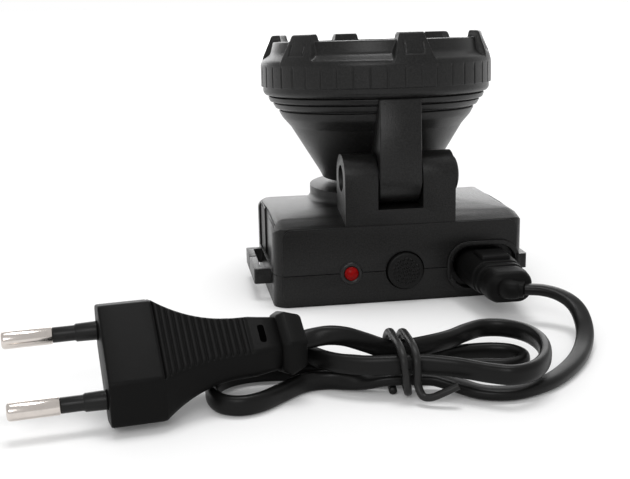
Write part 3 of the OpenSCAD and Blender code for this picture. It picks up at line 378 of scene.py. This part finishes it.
def spun(a, b, angle):
    """The pair of coordinates a, b turned about the third: (a cos - b sin, a sin + b cos)."""
    return a * math.cos(angle) - b * math.sin(angle), a * math.sin(angle) + b * math.cos(angle)


def on_plug(p):
    """Points of the plug's own frame, rolled about its X, yawed about +Z and set at its front face."""
    p = np.asarray(p, float)
    y, z = spun(p[..., 1], p[..., 2], PLUG_ROLL)
    x, y = spun(p[..., 0], y, PLUG_YAW)
    return np.stack([x, y, z], -1) + PLUG_FRONT


def smoothed(route, runs):
    """Catmull-Rom curve through the route's points: for ends b and c with neighbours a and d, at t from 0
    to 1, half of 2b + (c - a) t + (2a - 5b + 4c - d) t^2 + (3b - a - 3c + d) t^3."""
    p = np.asarray(route, float)
    p = np.concatenate([[2 * p[0] - p[1]], p, [2 * p[-1] - p[-2]]])
    a, b, c, d = (p[i:len(p) - 3 + i, None] for i in range(4))
    t = (np.arange(runs) / runs)[None, :, None]
    bend, twist = 2 * a - 5 * b + 4 * c - d, 3 * b - a - 3 * c + d
    run = 0.5 * (2 * b + (c - a) * t + bend * t ** 2 + twist * t ** 3)
    return np.concatenate([run.reshape(-1, p.shape[1]), p[-2:-1]])


def flat_tube(path, wide, thick, sides, power=2.6):
    """Rings along a path [x, y, z, roll]: a flat oval |u|^power + |v|^power = 1, turned by roll."""
    way = path[:, :3]
    ahead = np.concatenate([way[1:2] - way[:1], way[2:] - way[:-2], way[-1:] - way[-2:-1]])
    ahead /= np.linalg.norm(ahead, axis=1, keepdims=True)
    side = np.cross(ahead, [0, 0, 1])
    side /= np.linalg.norm(side, axis=1, keepdims=True)
    up = np.cross(side, ahead)
    roll = np.radians(path[:, 3])[:, None] if path.shape[1] > 3 else np.zeros((len(path), 1))
    u_way = np.cos(roll) * side + np.sin(roll) * up
    v_way = np.cos(roll) * up - np.sin(roll) * side
    a = np.arange(sides) * 2 * math.pi / sides
    u, v = ((np.sign(f) * np.abs(f) ** (2 / power))[None, :, None] for f in (np.cos(a), np.sin(a)))
    return way[:, None] + wide / 2 * u * u_way[:, None] + thick / 2 * v * v_way[:, None]


in_plug = [*on_plug([PLUG_END, 0, 0]), math.degrees(PLUG_ROLL)]
lead_path = smoothed([*(np.array(FREE) + [*EXIT, 0]), *HANK, in_plug], 10)
lead_skin = loft(flat_tube(lead_path, CORD_W, CORD_T, 28))
lead = piece("lead", *lead_skin, CORD, "mains_lead", "soft_pvc", "lead_cord", "cord_hank")
tie_skin = loft(flat_tube(smoothed(TIE_ROUTE, 12), TIE_BROAD, TIE_THICK, 16, 2.2))
tie = piece("tie", *tie_skin, TIE, "mains_lead", "soft_pvc", "cord_tie")

# ---------- plug ----------

BLOCK_L, BLOCK_W, BLOCK_BROAD, BLOCK_T = 12.0, 16.8, 10.5, 7.4
RIBS, RIB_PITCH, RIB_DEPTH = 14, 1.45, 0.55
END_W, END_BROAD, END_T = 8.5, 5.0, 4.8
NECK_X, FLANGE_X = 34.6, 39.5


def hexagons(stations, steps=7):
    """Rings on the plug's frame from rows [x, half-width, half-width of the broad face, half-thickness, edge
    radius, groove]: a six-sided outline (w, 0), (b, t), (-b, t), (-w, 0), (-b, -t), (b, -t), its corners
    eased, with its broad faces alone sunk by the groove."""
    rings = []
    for x, w, b, t, r, *groove in stations:
        corners = [[w, 0], [b, t], [-b, t], [-w, 0], [-b, -t], [b, -t]]
        outline = eased(corners, [1.8 * r, r, r, 1.8 * r, r, r], steps)
        within = np.clip((b - np.abs(outline[:, 0])) / 0.5 + 0.4, 0, 1)
        on_face = np.clip(np.abs(outline[:, 1]) / t * 4 - 3, 0, 1)
        outline[:, 1] -= np.sign(outline[:, 1]) * sum(groove) * within * on_face
        rings.append(np.column_stack([np.full(len(outline), x), outline]))
    return np.array(rings)


def plug_stations():
    """A block, then a taper whose width is end + (start - end)(1 - t)^2.3, grooved across its broad faces,
    then the plain neck."""
    rows = [[0, BLOCK_W - 0.5, BLOCK_BROAD - 0.4, BLOCK_T - 0.5, 0.8],
            [0.15, BLOCK_W - 0.15, BLOCK_BROAD, BLOCK_T - 0.15, 0.8]]
    rows += [[x, BLOCK_W, BLOCK_BROAD, BLOCK_T, 0.8] for x in (0.6, 4, 8, BLOCK_L - 0.7)]
    rows += [[BLOCK_L - 0.2, BLOCK_W - 0.15, BLOCK_BROAD - 0.1, BLOCK_T - 0.15, 0.8]]
    fine = 10
    for i in range(RIBS * fine + 1):
        along = i / fine
        ease = (1 - along / RIBS) ** 2.3
        groove = RIB_DEPTH * (1 - abs(math.sin(math.pi * along)) ** 0.55)
        step = 0.6 * math.exp(-along * 3.5)
        wide, broad = END_W + (BLOCK_W - 0.1 - END_W) * ease, END_BROAD + (BLOCK_BROAD - END_BROAD) * ease
        thick = END_T + (BLOCK_T - END_T) * ease
        rows.append([BLOCK_L + along * RIB_PITCH, wide, broad, thick, 0.9, groove + step])
    x = BLOCK_L + RIBS * RIB_PITCH
    rows += [[x + 0.4, 8.4, END_BROAD, END_T, 1], [x + 1.2, 8.4, END_BROAD, END_T, 1],
             [36, 7.8, END_BROAD - 0.3, END_T - 0.1, 1], [40.5, 7, END_BROAD - 0.8, END_T - 0.2, 1]]
    return rows


plug_skin = loft(on_plug(hexagons(plug_stations())))
plug = piece("plug", *plug_skin, PVC, "mains_lead", "soft_pvc", "plug_body")
FLANGE = [[0, 7.4, 3.8, 4.8, 0.6], [0.3, 8.2, 4.2, 5.3, 0.6], [1.9, 9.2, 4.5, 5.85, 0.6],
          [2.3, 9.2, 4.5, 5.85, 0.6], [5.6, 7.5, 3.9, 5.1, 0.8], [6, 7.1, 3.6, 4.8, 0.8]]
flange_skin = loft(on_plug(hexagons([[FLANGE_X + x, *rest] for x, *rest in FLANGE])))
plug_flange = piece("plug_flange", *flange_skin, PVC, "mains_lead", "soft_pvc")

# The slot across the neck, as painted shade: a thin rounded plate, near-black and without gloss, let into the
# upper broad face where the slot's hollow would lie in shade.
SLOT_PAINTED_SHADE = moulded("slot_painted_shade", 0.0008, 0.0012, 0.8, 3000, 0.00001, scuff=0.0, gloss=0.0)
outline = eased([[0.3, -2.4], [1.8, -2.4], [1.8, 2.4], [0.3, 2.4]], 0.7, 8)
slab = [np.column_stack([outline + [NECK_X, 0], np.full(len(outline), z)]) for z in (4.2, END_T - 0.02)]
neck_slot_painted_shade = piece("neck_slot_painted_shade", *loft(on_plug(slab)), SLOT_PAINTED_SHADE, "mains_lead", "soft_pvc")

PIN_PITCH, PIN_R, PIN_L, SLEEVE_R, SLEEVE_L = 18.6, 2.0, 11.0, 1.75, 10.0


def turned_on_plug(profile, y, sides=40):
    """Rings round a line along the plug's -X at this y, from rows [distance ahead of its front, radius]."""
    a = np.arange(sides) * 2 * math.pi / sides
    d, r = np.asarray(profile, float).T[..., None]
    return on_plug(np.stack([-d + 0 * a, y + r * np.cos(a), r * np.sin(a)], -1))


def pair(name, profile, finish, slot, node):
    """The same turned shape on both of the plug's pins, as one mesh."""
    skins = [loft(turned_on_plug(profile, y)) for y in (-PIN_PITCH / 2, PIN_PITCH / 2)]
    return piece(name, *joined(*skins), finish, "mains_lead", slot, node)


PIN_ROUND = 0.8
tip = [[SLEEVE_L + PIN_L - PIN_ROUND * (1 - math.sin(a)), PIN_R - PIN_ROUND * (1 - math.cos(a))]
       for a in np.radians([0, 15, 30, 45, 60, 75, 89])]
pin_rows = [[SLEEVE_L, PIN_R - 0.12], [SLEEVE_L + 0.12, PIN_R]] + tip
sleeve_rows = [[0, SLEEVE_R + 0.55], [0.5, SLEEVE_R + 0.4], [SLEEVE_L / 2 - 0.3, SLEEVE_R + 0.3],
               [SLEEVE_L / 2, SLEEVE_R + 0.05], [SLEEVE_L / 2 + 0.2, SLEEVE_R], [SLEEVE_L - 0.2, SLEEVE_R],
               [SLEEVE_L, SLEEVE_R - 0.15]]
pins = pair("plug_pin_pair", pin_rows, NICKEL, "nickel", "plug_pins")
sleeves = pair("sleeve_pair", sleeve_rows, SLEEVE, "dark_plastic", "pin_sleeves")

# ---------- connector ----------

INLET_X, CTRL_Z, GRIP_FRONT = 25.2, 9.6, -22.7


def rounded_rings(stations, centre, sides):
    """Rings across Y from rows [y, half-width, half-height, corner radius]: each is a rounded rectangle, its
    quarters centre + (sx (w - r) + r cos a, sz (h - r) + r sin a), with signs sx and sz."""
    right_angle = math.pi / 2
    a = np.concatenate([np.linspace(q * right_angle, (q + 1) * right_angle, sides) for q in range(4)])
    sx, sz = np.repeat([1, -1, -1, 1], sides), np.repeat([1, 1, -1, -1], sides)
    y, w, h, r = np.asarray(stations, float).T[..., None]
    r = np.minimum(r, np.minimum(w, h))
    return np.stack([centre[0] + sx * (w - r) + r * np.cos(a), y + 0 * a,
                     centre[1] + sz * (h - r) + r * np.sin(a)], -1)


# Rows of the grip behind its front: [distance, half-width, half-height]; close pairs are the grooves' walls.
GRIP = [[0, 8.25, 5.1], [7, 8.25, 5.1], [14.5, 7.7, 4.9], [16, 7.6, 4.85], [16.1, 7, 4.3], [17.1, 7, 4.3],
        [17.2, 7.4, 4.75], [19.2, 7.2, 4.65], [19.3, 6.6, 4.1], [20.3, 6.6, 4.1], [20.4, 6.9, 4.5],
        [22.5, 6.6, 4.4], [22.7, 7, 4.7], [26, 6.6, 4.5], [27.5, 5.8, 3.9]]
profile = eased(GRIP, 0.45, 5, closed=False)
stations = [[GRIP_FRONT - d, w, h, 0.86 * min(w, h)] for d, w, h in profile]
grip_skin = loft(rounded_rings(stations, (INLET_X, CTRL_Z), 10))
piece("connector_grip_body", *grip_skin, PVC, "mains_lead", "soft_pvc", "connector_grip")
KEY = [[14.5, 3.7, 2.2, 0.6], [14.3, 4.2, 2.75, 0.7], [13.8, 4.4, 3.0, 0.8], [6.5, 4.4, 3.0, 0.8],
       [5.5, 4.2, 2.4, 0.8]]
key_skin = loft(rounded_rings([[GRIP_FRONT - d, *rest] for d, *rest in KEY], (INLET_X, CTRL_Z + 3.1), 6))
piece("grip_key", *key_skin, PVC, "mains_lead", "soft_pvc")

# The grip's short sleeve, which turns with the lead and thins towards its exit.
sleeve_start = np.array([INLET_X, GRIP_FRONT - GRIP[-1][0], CTRL_Z])
sleeve_path = smoothed([sleeve_start + [0, 1.6, 0], sleeve_start, sleeve_start + [0.5, -0.6, 0],
                        EXIT + [-1.6, 0.75, 0], EXIT], 8)
fade = np.linspace(0, 1, len(sleeve_path))[:, None, None]
stout = flat_tube(sleeve_path, 8.4, 6.4, 28)
slim = flat_tube(sleeve_path, CORD_W + 1.3, CORD_T + 1.3, 28)
piece("cord_sleeve", *loft(stout * (1 - fade) + slim * fade), PVC, "mains_lead", "soft_pvc")

# ---------- case ----------

CASE_W, CASE_D, EDGE_H, CROWN_RISE = 76.0, 50.0, 23.5, 3.8
SIDE_RISE, SIDE_CROWN_TOP = 3.0, EDGE_H + CROWN_RISE + 0.7
CROWN_R = ((CASE_D / 2) ** 2 + CROWN_RISE ** 2) / (2 * CROWN_RISE)
SIDE_CROWN_R = ((CASE_W / 2) ** 2 + SIDE_RISE ** 2) / (2 * SIDE_RISE)
TOP_ROUND = 3.4
ROUND_START = CASE_W / 2 - TOP_ROUND
PARTING_H, RIM, SEAM = 9.6, 1.2, 0.22
BOSS_R, BOSS_Y, FLARE_R, FLARE_SPREAD, BURIED = 22.0, 8.0, 2.6, 1.42, 0.03


def crown_height(x, y):
    """Height of the case's top face: the lower of its two shallow arches, front to back and side to side."""
    along = EDGE_H + CROWN_RISE - CROWN_R + np.sqrt(CROWN_R ** 2 - np.clip(y, -CASE_D / 2, CASE_D / 2) ** 2)
    across = SIDE_CROWN_TOP - SIDE_CROWN_R + np.sqrt(SIDE_CROWN_R ** 2 - x ** 2)
    return np.minimum(along, across)


def cut_side_bands(shape, low=18.0):
    """Cuts what is above a height by planes across X, eight on each side, for the rounding to bend at."""
    for side in (-1, 1):
        for turn in np.radians(np.arange(0, 90, 11.25)):
            x = side * (CASE_W / 2 - TOP_ROUND * (1 - math.sin(turn))) * MM
            high = [v for v in shape.verts if v.co.z > low * MM]
            edges = [e for e in shape.edges if any(v.co.z > low * MM for v in e.verts)]
            faces = [f for f in shape.faces if any(v.co.z > low * MM for v in f.verts)]
            bmesh.ops.bisect_plane(shape, geom=high + edges + faces, dist=1e-6, plane_co=(x, 0, 0),
                                   plane_no=(1, 0, 0))


def rounded_sides(mesh):
    """Lowers the top towards each side, z <= crown - R + sqrt(R^2 - u^2), where u is how far |x| is past the
    start of the rounding, and lifts the shell's outer lower rim, which opens a fine seam at the parting."""
    flat = np.empty(len(mesh.vertices) * 3)
    mesh.vertices.foreach_get("co", flat)
    x, y, z = (flat.reshape(-1, 3) / MM).T
    u = np.clip(np.abs(x) - ROUND_START, 0, TOP_ROUND)
    arc = crown_height(ROUND_START, y) - TOP_ROUND + np.sqrt(TOP_ROUND ** 2 - u ** 2)
    rim = (np.abs(z - PARTING_H) < 0.02) & ((np.abs(x) > CASE_W / 2 - RIM) | (y < RIM - CASE_D / 2))
    z = np.where((u > 0) & (z > EDGE_H - 4), np.minimum(z, arc), z) + SEAM * rim
    mesh.vertices.foreach_set("co", (np.stack([x, y, z], -1) * MM).ravel())
    mesh.update()


SHARP, BEVEL_STEPS = math.radians(28), 3


def softened(name, node, finish, body, slot, width, round_sides=False):
    """A copy of a CAD part, merged, its flat faces made whole, its sharp edges rounded by a live bevel."""
    shape = bmesh.new()
    shape.from_mesh(NODES[node].data)
    bmesh.ops.remove_doubles(shape, verts=shape.verts, dist=2e-6)
    bmesh.ops.dissolve_limit(shape, angle_limit=math.radians(0.4), verts=shape.verts, edges=shape.edges)
    if round_sides:
        cut_side_bands(shape)
    mesh = bpy.data.meshes.new(name)
    shape.to_mesh(mesh)
    shape.free()
    if round_sides:
        rounded_sides(mesh)
    bevel = dressed(name, mesh, finish, body, slot, node).modifiers.new("round", "BEVEL")
    bevel.width, bevel.segments, bevel.limit_method = width * MM, BEVEL_STEPS, "ANGLE"
    bevel.angle_limit, bevel.miter_outer = SHARP, "MITER_ARC"
    bevel.harden_normals = bevel.use_clamp_overlap = True


softened("case_front", "front_shell", ABS, "case", "black_plastic", 0.22, round_sides=True)
softened("case_back", "back_cover", ABS, "case", "black_plastic", 0.3)


def boss_flare():
    """The boss's foot: a hollow quarter round of radius s laid on the crowned top, r = boss + s (1 - cos t)
    and z = crown + s (1 - sin t), where s fades out at its two ends. Its edges are just under the case."""
    turn = np.radians(np.linspace(-216, 36, 120))[None, :]
    t = np.linspace(0, math.pi / 2, 10)[:, None]
    s = FLARE_R * np.sqrt(np.clip(np.cos((turn + math.pi / 2) / FLARE_SPREAD), 0, 1))
    r = BOSS_R - 0.05 + s * (1 - np.cos(t))
    x, y = r * np.cos(turn), BOSS_Y + r * np.sin(turn)
    return np.stack([x, y, crown_height(x, y) + s * (1 - np.sin(t)) - BURIED], -1)


flare = boss_flare()
piece("boss_flare", flare, grid_faces(*flare.shape[:2], ring=False), ABS, "case", "black_plastic")
softened("inlet_collar", "inlet_socket", ABS, "case", "black_plastic", 0.25)

# ---------- lamp head ----------

PIVOT, HEAD_BACK, HEAD_LEAN = np.array([0, -17.3, 36.9]), 26.9, math.radians(2.5)
BEZEL_R, BARREL_R, BARREL_TOP = 36.4, 33.0, 71.2


def on_head(p):
    """Points of the upright lamp head, its axis along Z, leant back about the hinge."""
    p = np.asarray(p, float) + [0, HEAD_BACK, -PIVOT[2]]
    y, z = p[..., 1], p[..., 2]
    c, s = math.cos(HEAD_LEAN), math.sin(HEAD_LEAN)
    return np.stack([p[..., 0], y * c + z * s, z * c - y * s], -1) + PIVOT


def turned(profile, sides=192):
    """Points [rows, sides, 3] of a profile [radius, height] turned round Z: (r cos a, r sin a, z)."""
    a = np.arange(sides) * 2 * math.pi / sides
    r, z = np.asarray(profile, float).T[..., None]
    return np.stack([r * np.cos(a), r * np.sin(a), z + 0 * a], -1)


def eased_rows(rows, closed=True):
    """The outline [radius, height] of rows [radius, height, corner easing], five points to a corner."""
    rows = np.array(rows, float)
    return eased(rows[:, :2], rows[:, 2], 5, closed)


# Rows [radius, height, corner easing] from the tail up the cone and rings, over the barrel and down inside.
HOUSING = [[0, 32.6, 0], [13, 32.6, 0.6], [16.2, 33.4, 0.7], [17.5, 33.9, 0.5], [18.4, 35.8, 0.9],
           [27.3, 50.4, 0.35], [BEZEL_R - 6.5, 53.4, 0.5], [BEZEL_R - 5.3, 55.6, 0.5],
           [BEZEL_R - 6.1, 55.8, 0.1], [BEZEL_R - 6.1, 56.2, 0.1], [BEZEL_R - 4.5, 56.3, 0.45],
           [BEZEL_R - 3.5, 58.0, 0.45],
           [BEZEL_R - 4.3, 58.15, 0.1], [BEZEL_R - 4.3, 58.4, 0.1], [BEZEL_R - 2.7, 58.5, 0.4],
           [BEZEL_R - 2.05, 60.1, 0.4], [BARREL_R, 60.2, 0.1], [BARREL_R, BARREL_TOP, 0.2],
           [BARREL_R - 2, BARREL_TOP, 0.2], [BARREL_R - 2, 60.5, 0.3], [28, 54.4, 0.3], [25.4, 51.4, 0.3],
           [16.4, 36.8, 0.3], [15.6, 35, 0.2], [0, 35, 0]]
shell = on_head(turned(eased_rows(HOUSING, closed=False)))

# The arm: its side view, a half round about the hinge with a square top, carried across X, its edges eased.
ARM_W, ARM_R, ARM_H = 12.6, 8.0, 60.3 - PIVOT[2]
foot = [[ARM_R * math.sin(a), -ARM_R * math.cos(a)] for a in np.linspace(-math.pi / 2, math.pi / 2, 25)]
side_view = np.array(foot + [[ARM_R, ARM_H - 0.5], [ARM_R - 0.5, ARM_H], [0.5 - ARM_R, ARM_H],
                             [-ARM_R, ARM_H - 0.5]])
middle, reach = np.array([0, 8.0]), np.array([ARM_R, 15.5])
EASE = [[0, 0.55], [0.1, 0.28], [0.3, 0.1], [0.6, 0]]
slices = []
for x, inset in [[e - ARM_W / 2, i] for e, i in EASE] + [[ARM_W / 2 - e, i] for e, i in EASE[::-1]]:
    inner = middle + (side_view - middle) * (1 - inset / reach)
    slices.append(np.column_stack([np.full(len(inner), x), inner]))
arm = loft(on_head(np.array(slices) - [0, HEAD_BACK, -PIVOT[2]]))
housing = joined((shell, grid_faces(*shell.shape[:2])), arm)
piece("head_housing", *housing, ABS_HEAD, "lamp_head", "black_plastic", "lamp_housing")

# ---------- bezel ----------

SKIRT_R = BEZEL_R - 0.6
LUGS, FIRST_LUG, PADS = 6, math.radians(-83), 45
LUG_FOOT_H, LUG_H, LUG_FOOT, LUG_TIP = 70.7, 8.3, 6.7, 4.0
PAD_GROOVE, PAD_LOW, PAD_HIGH = 0.38, 63.3, 69.6
FRAME_DEPTH, FRAME_H, FRAME_HALF, FRAME_RISE = 0.35, 73.0, 2.85, 3.0
# Rows [radius, height, corner easing] round the ring: the skirt and grip, then the rim between the lugs or
# over one, then back down inside. The two rims have the same count of rows.
GRIP_BAND = [[33.4, 60.6, 0.2], [SKIRT_R - 0.8, 60.6, 0.4], [SKIRT_R, 61.6, 0.5], [SKIRT_R, 63.25, 0.1],
             [BEZEL_R, 63.35, 0.15], [BEZEL_R, 70.0, 0.3]]
LEDGE_RIM = [[BEZEL_R - 0.4, 71.2, 0.5], [33.2, 73.0, 0.9], [32.2, 76.9, 0.4], [30.0, 77, 0.3]]
LUG_RIM = [[BEZEL_R - 0.3, 71.2, 0.4], [BEZEL_R - 0.6, 72.4, 0.9], [33.1, 78.9, 0.6], [30.4, 79, 0.4]]
INSIDE = [[29.6, 75.4, 0.2], [31.6, 75.25, 0.1], [31.7, 72.1, 0.1], [33.4, 72.0, 0.1]]


def spread(profile, gaps):
    """A profile with its corners eased and each side cut into its count of gaps."""
    corners = eased_rows(profile).reshape(len(profile), 5, 2)
    out = []
    for corner, after, count in zip(corners, np.roll(corners, -1, 0), gaps):
        t = (np.arange(1, count) / count)[:, None]
        out += [corner, corner[-1] * (1 - t) + after[0] * t]
    return np.concatenate(out)


def soft_step(low, high, value):
    """0 below low, 1 above high, 3t^2 - 2t^3 between."""
    t = np.clip((value - low) / (high - low), 0, 1)
    return t * t * (3 - 2 * t)


def bezel_points(columns=960):
    """The ring as a grid: each column of the plain profile moves to the lug's by how far it is inside a lug,
    whose half-width narrows from its foot to its tip. Shallow grooves part the grip's pads, and a three-sided
    frame, open at its top, is pressed in each lug's outer face."""
    gaps = [1, 1, 2, 1, 8, 2, 6, 10, 3, 2, 2, 2, 1, 4]
    plain, raised = (spread(GRIP_BAND + rim + INSIDE, gaps) for rim in (LEDGE_RIM, LUG_RIM))
    a = np.arange(columns) * 2 * math.pi / columns
    pitch = 2 * math.pi / LUGS
    off = (a - FIRST_LUG + pitch / 2) % pitch - pitch / 2
    across = off[None, :] * raised[:, :1]
    height = raised[:, 1:]
    half = LUG_FOOT - (LUG_FOOT - LUG_TIP) * np.clip((height - LUG_FOOT_H) / LUG_H, 0, 1)
    inside = soft_step(-0.35, 0.35, half - np.abs(across))
    r = plain[:, :1] * (1 - inside) + raised[:, :1] * inside
    z = plain[:, 1:] * (1 - inside) + height * inside
    step = 2 * math.pi / PADS
    from_groove = np.abs((a + step / 2) % step - step / 2)[None, :] * BEZEL_R
    band = soft_step(PAD_LOW, PAD_LOW + 0.15, z) * (1 - soft_step(PAD_HIGH - 0.4, PAD_HIGH, z))
    r = r - PAD_GROOVE * band * (r > SKIRT_R) * (1 - soft_step(0.16, 0.34, from_groove))
    up = height - FRAME_H
    from_frame = np.abs(np.maximum(np.abs(across) - FRAME_HALF, -up))
    face = (raised[:, :1] > 33.2) & (up > -0.8) & (up < FRAME_RISE)
    r = r - FRAME_DEPTH * (1 - soft_step(0.1, 0.38, from_frame)) * face * inside
    return np.stack([r * np.cos(a), r * np.sin(a), z], -1)


ring = on_head(bezel_points())
ring_faces = grid_faces(*ring.shape[:2], closed=True)
piece("bezel", ring, ring_faces, ABS_HEAD, "bezel", "black_plastic", "bezel_ring")

# ---------- button, light and bolt ----------

CASE_FRONT, BUTTON_X, LED_X = -CASE_D / 2, 1.1, -15.2
DOME_R, DOME_H, DOME_CROWN = 5.0, 1.5, 0.25
DOT_PITCH, DOT_R, DOT_H = 1.25, 0.5, 0.5


def facing_front(rings, x, z):
    """Rings turned round Z, laid with +Z pointing out through the front panel at x, z."""
    return np.stack([rings[..., 0] + x, CASE_FRONT - rings[..., 2], rings[..., 1] + z], -1)


def button_cap():
    """A low dome with three rings of small round dots about one in its middle: at a distance d from its own
    centre, each dot stands h (1 - d^2 / r^2)^2 proud."""
    dome = np.linspace(0, DOME_R, 62)
    skirt = [[5.15, 1.22], [5.3, 1.14], [5.42, 1.0], [5.48, 0.85], [5.5, 0.7], [5.5, -1.0], [5.5, -3.2],
             [6.6, -3.2], [6.6, -4.0]]
    crown = DOME_H - DOME_CROWN * (dome / DOME_R) ** 2
    shape = turned([*np.column_stack([dome, crown]), *skirt], 300)
    dots = [(0.0, 0.0)]
    for n in (1, 2, 3):
        dots += [(DOT_PITCH * n, 2 * math.pi * k / (6 * n) + 0.26 * n) for k in range(6 * n)]
    for radius, angle in dots:
        centre = radius * np.array([math.cos(angle), math.sin(angle)])
        d2 = ((shape[..., :2] - centre) ** 2).sum(-1)
        shape[..., 2] += DOT_H * np.clip(1 - d2 / DOT_R ** 2, 0, 1) ** 2 * (shape[..., 2] > 1.1)
    return shape


cap = facing_front(button_cap(), BUTTON_X, CTRL_Z)
piece("button_cap", cap, grid_faces(*cap.shape[:2]), RUBBER, "button", "rubber_button", "mode_button")

COLLAR = [[2.05, -3.4, 0.1], [2.05, 0.25, 0.2], [2.5, 0.55, 0.25], [3.05, 0.55, 0.3], [3.4, 0.1, 0.25],
          [3.4, -0.02, 0.02], [2.8, -0.05, 0.05], [2.8, -3.4, 0.1]]
collar = facing_front(turned(eased_rows(COLLAR), 96), LED_X, CTRL_Z)
collar_faces = grid_faces(*collar.shape[:2], closed=True)
piece("led_collar", collar, collar_faces, DARK, "case", "dark_plastic", "led_ring")

BOLT_HEAD_X, BOLT_CAP_R, BOLT_R = 16.6, 5.4, 1.5
BOLT = [[0, -29.8, 0], [BOLT_R, -29.8, 0.2], [BOLT_R, 0, 0.1], [BOLT_CAP_R - 0.15, 0, 0.1],
        [BOLT_CAP_R, 0.3, 0.2], [BOLT_CAP_R, 1.2, 0.5], [BOLT_CAP_R - 1.6, 1.95, 0.8], [0, 2.2, 0]]
bolt = turned(eased_rows(BOLT, closed=False), 96)[..., [2, 0, 1]] + PIVOT + [BOLT_HEAD_X, 0, 0]
piece("hinge_bolt", bolt, grid_faces(*bolt.shape[:2]), ABS_HEAD, "case", "black_plastic", "pivot_bolt")

# ---------- floor, air and lamps ----------


def floor():
    """A plain pale floor: its own shade under the lamps, and whiter with distance to camera and gloss."""
    f = Finish("pale_floor")
    kinds = ("Camera", "Glossy", "Transmission")
    camera_ray, glossy, through = (f.node("ShaderNodeLightPath", out=f"Is {kind} Ray") for kind in kinds)
    seen = camera_ray.maths("MAXIMUM", glossy).maths("MAXIMUM", through)
    far = f.node("ShaderNodeVectorMath", {"operation": "LENGTH"}, f.place(), out=1).between(0.3, 1.5)
    glow = f.mix(seen * (far * 0.4 + 0.08), (0, 0, 0, 1), (1, 1, 1, 1))
    f.set(Base_Color=(0.8, 0.8, 0.8, 1), Roughness=0.9, Specular_IOR_Level=0.1, Emission_Color=glow,
          Emission_Strength=1.0)
    reach = 6.0
    corners = [(x * reach, y * reach, 0) for x, y in ((-1, -1), (1, -1), (1, 1), (-1, 1))]
    mesh = bpy.data.meshes.new("floor")
    mesh.from_pydata(corners, [], [(0, 1, 2, 3)])
    mesh.materials.append(f.made)
    plane = bpy.data.objects.new("floor", mesh)
    plane.location.z = -0.0001
    bpy.context.scene.collection.objects.link(plane)


def air(strength):
    """Even light of one strength from all round, and white, a strength of 1, to the camera."""
    f = Finish("studio_air", bpy.data.worlds, "Background")
    camera_ray = f.node("ShaderNodeLightPath", out="Is Camera Ray")
    f.set(Color=(1, 1, 1, 1), Strength=camera_ray * (1 - strength) + strength)
    bpy.context.scene.world = f.made


def lamp(name, place, aim, size, power, wide=1.0):
    """A soft rectangular lamp at a place, turned to what it lights."""
    data = bpy.data.lights.new(name, "AREA")
    data.shape, data.size, data.size_y, data.energy = "RECTANGLE", size * wide, size, power
    obj = bpy.data.objects.new(name, data)
    bpy.context.scene.collection.objects.link(obj)
    obj.location = place
    obj.rotation_euler = (Vector(aim) - Vector(place)).to_track_quat("-Z", "Y").to_euler()
    obj.visible_camera = False


floor()
air(0.68)
lamp("behind", (0.1, 1.6, 0.45), (0, 0, 0.05), 0.8, 10, 2.4)
lamp("above", (0.05, 0.1, 1.3), (0, 0, 0.05), 0.4, 7, 1.6)
lamp("front", (-0.35, -0.95, 0.62), (0, 0, 0.06), 0.35, 3.5, 1.6)
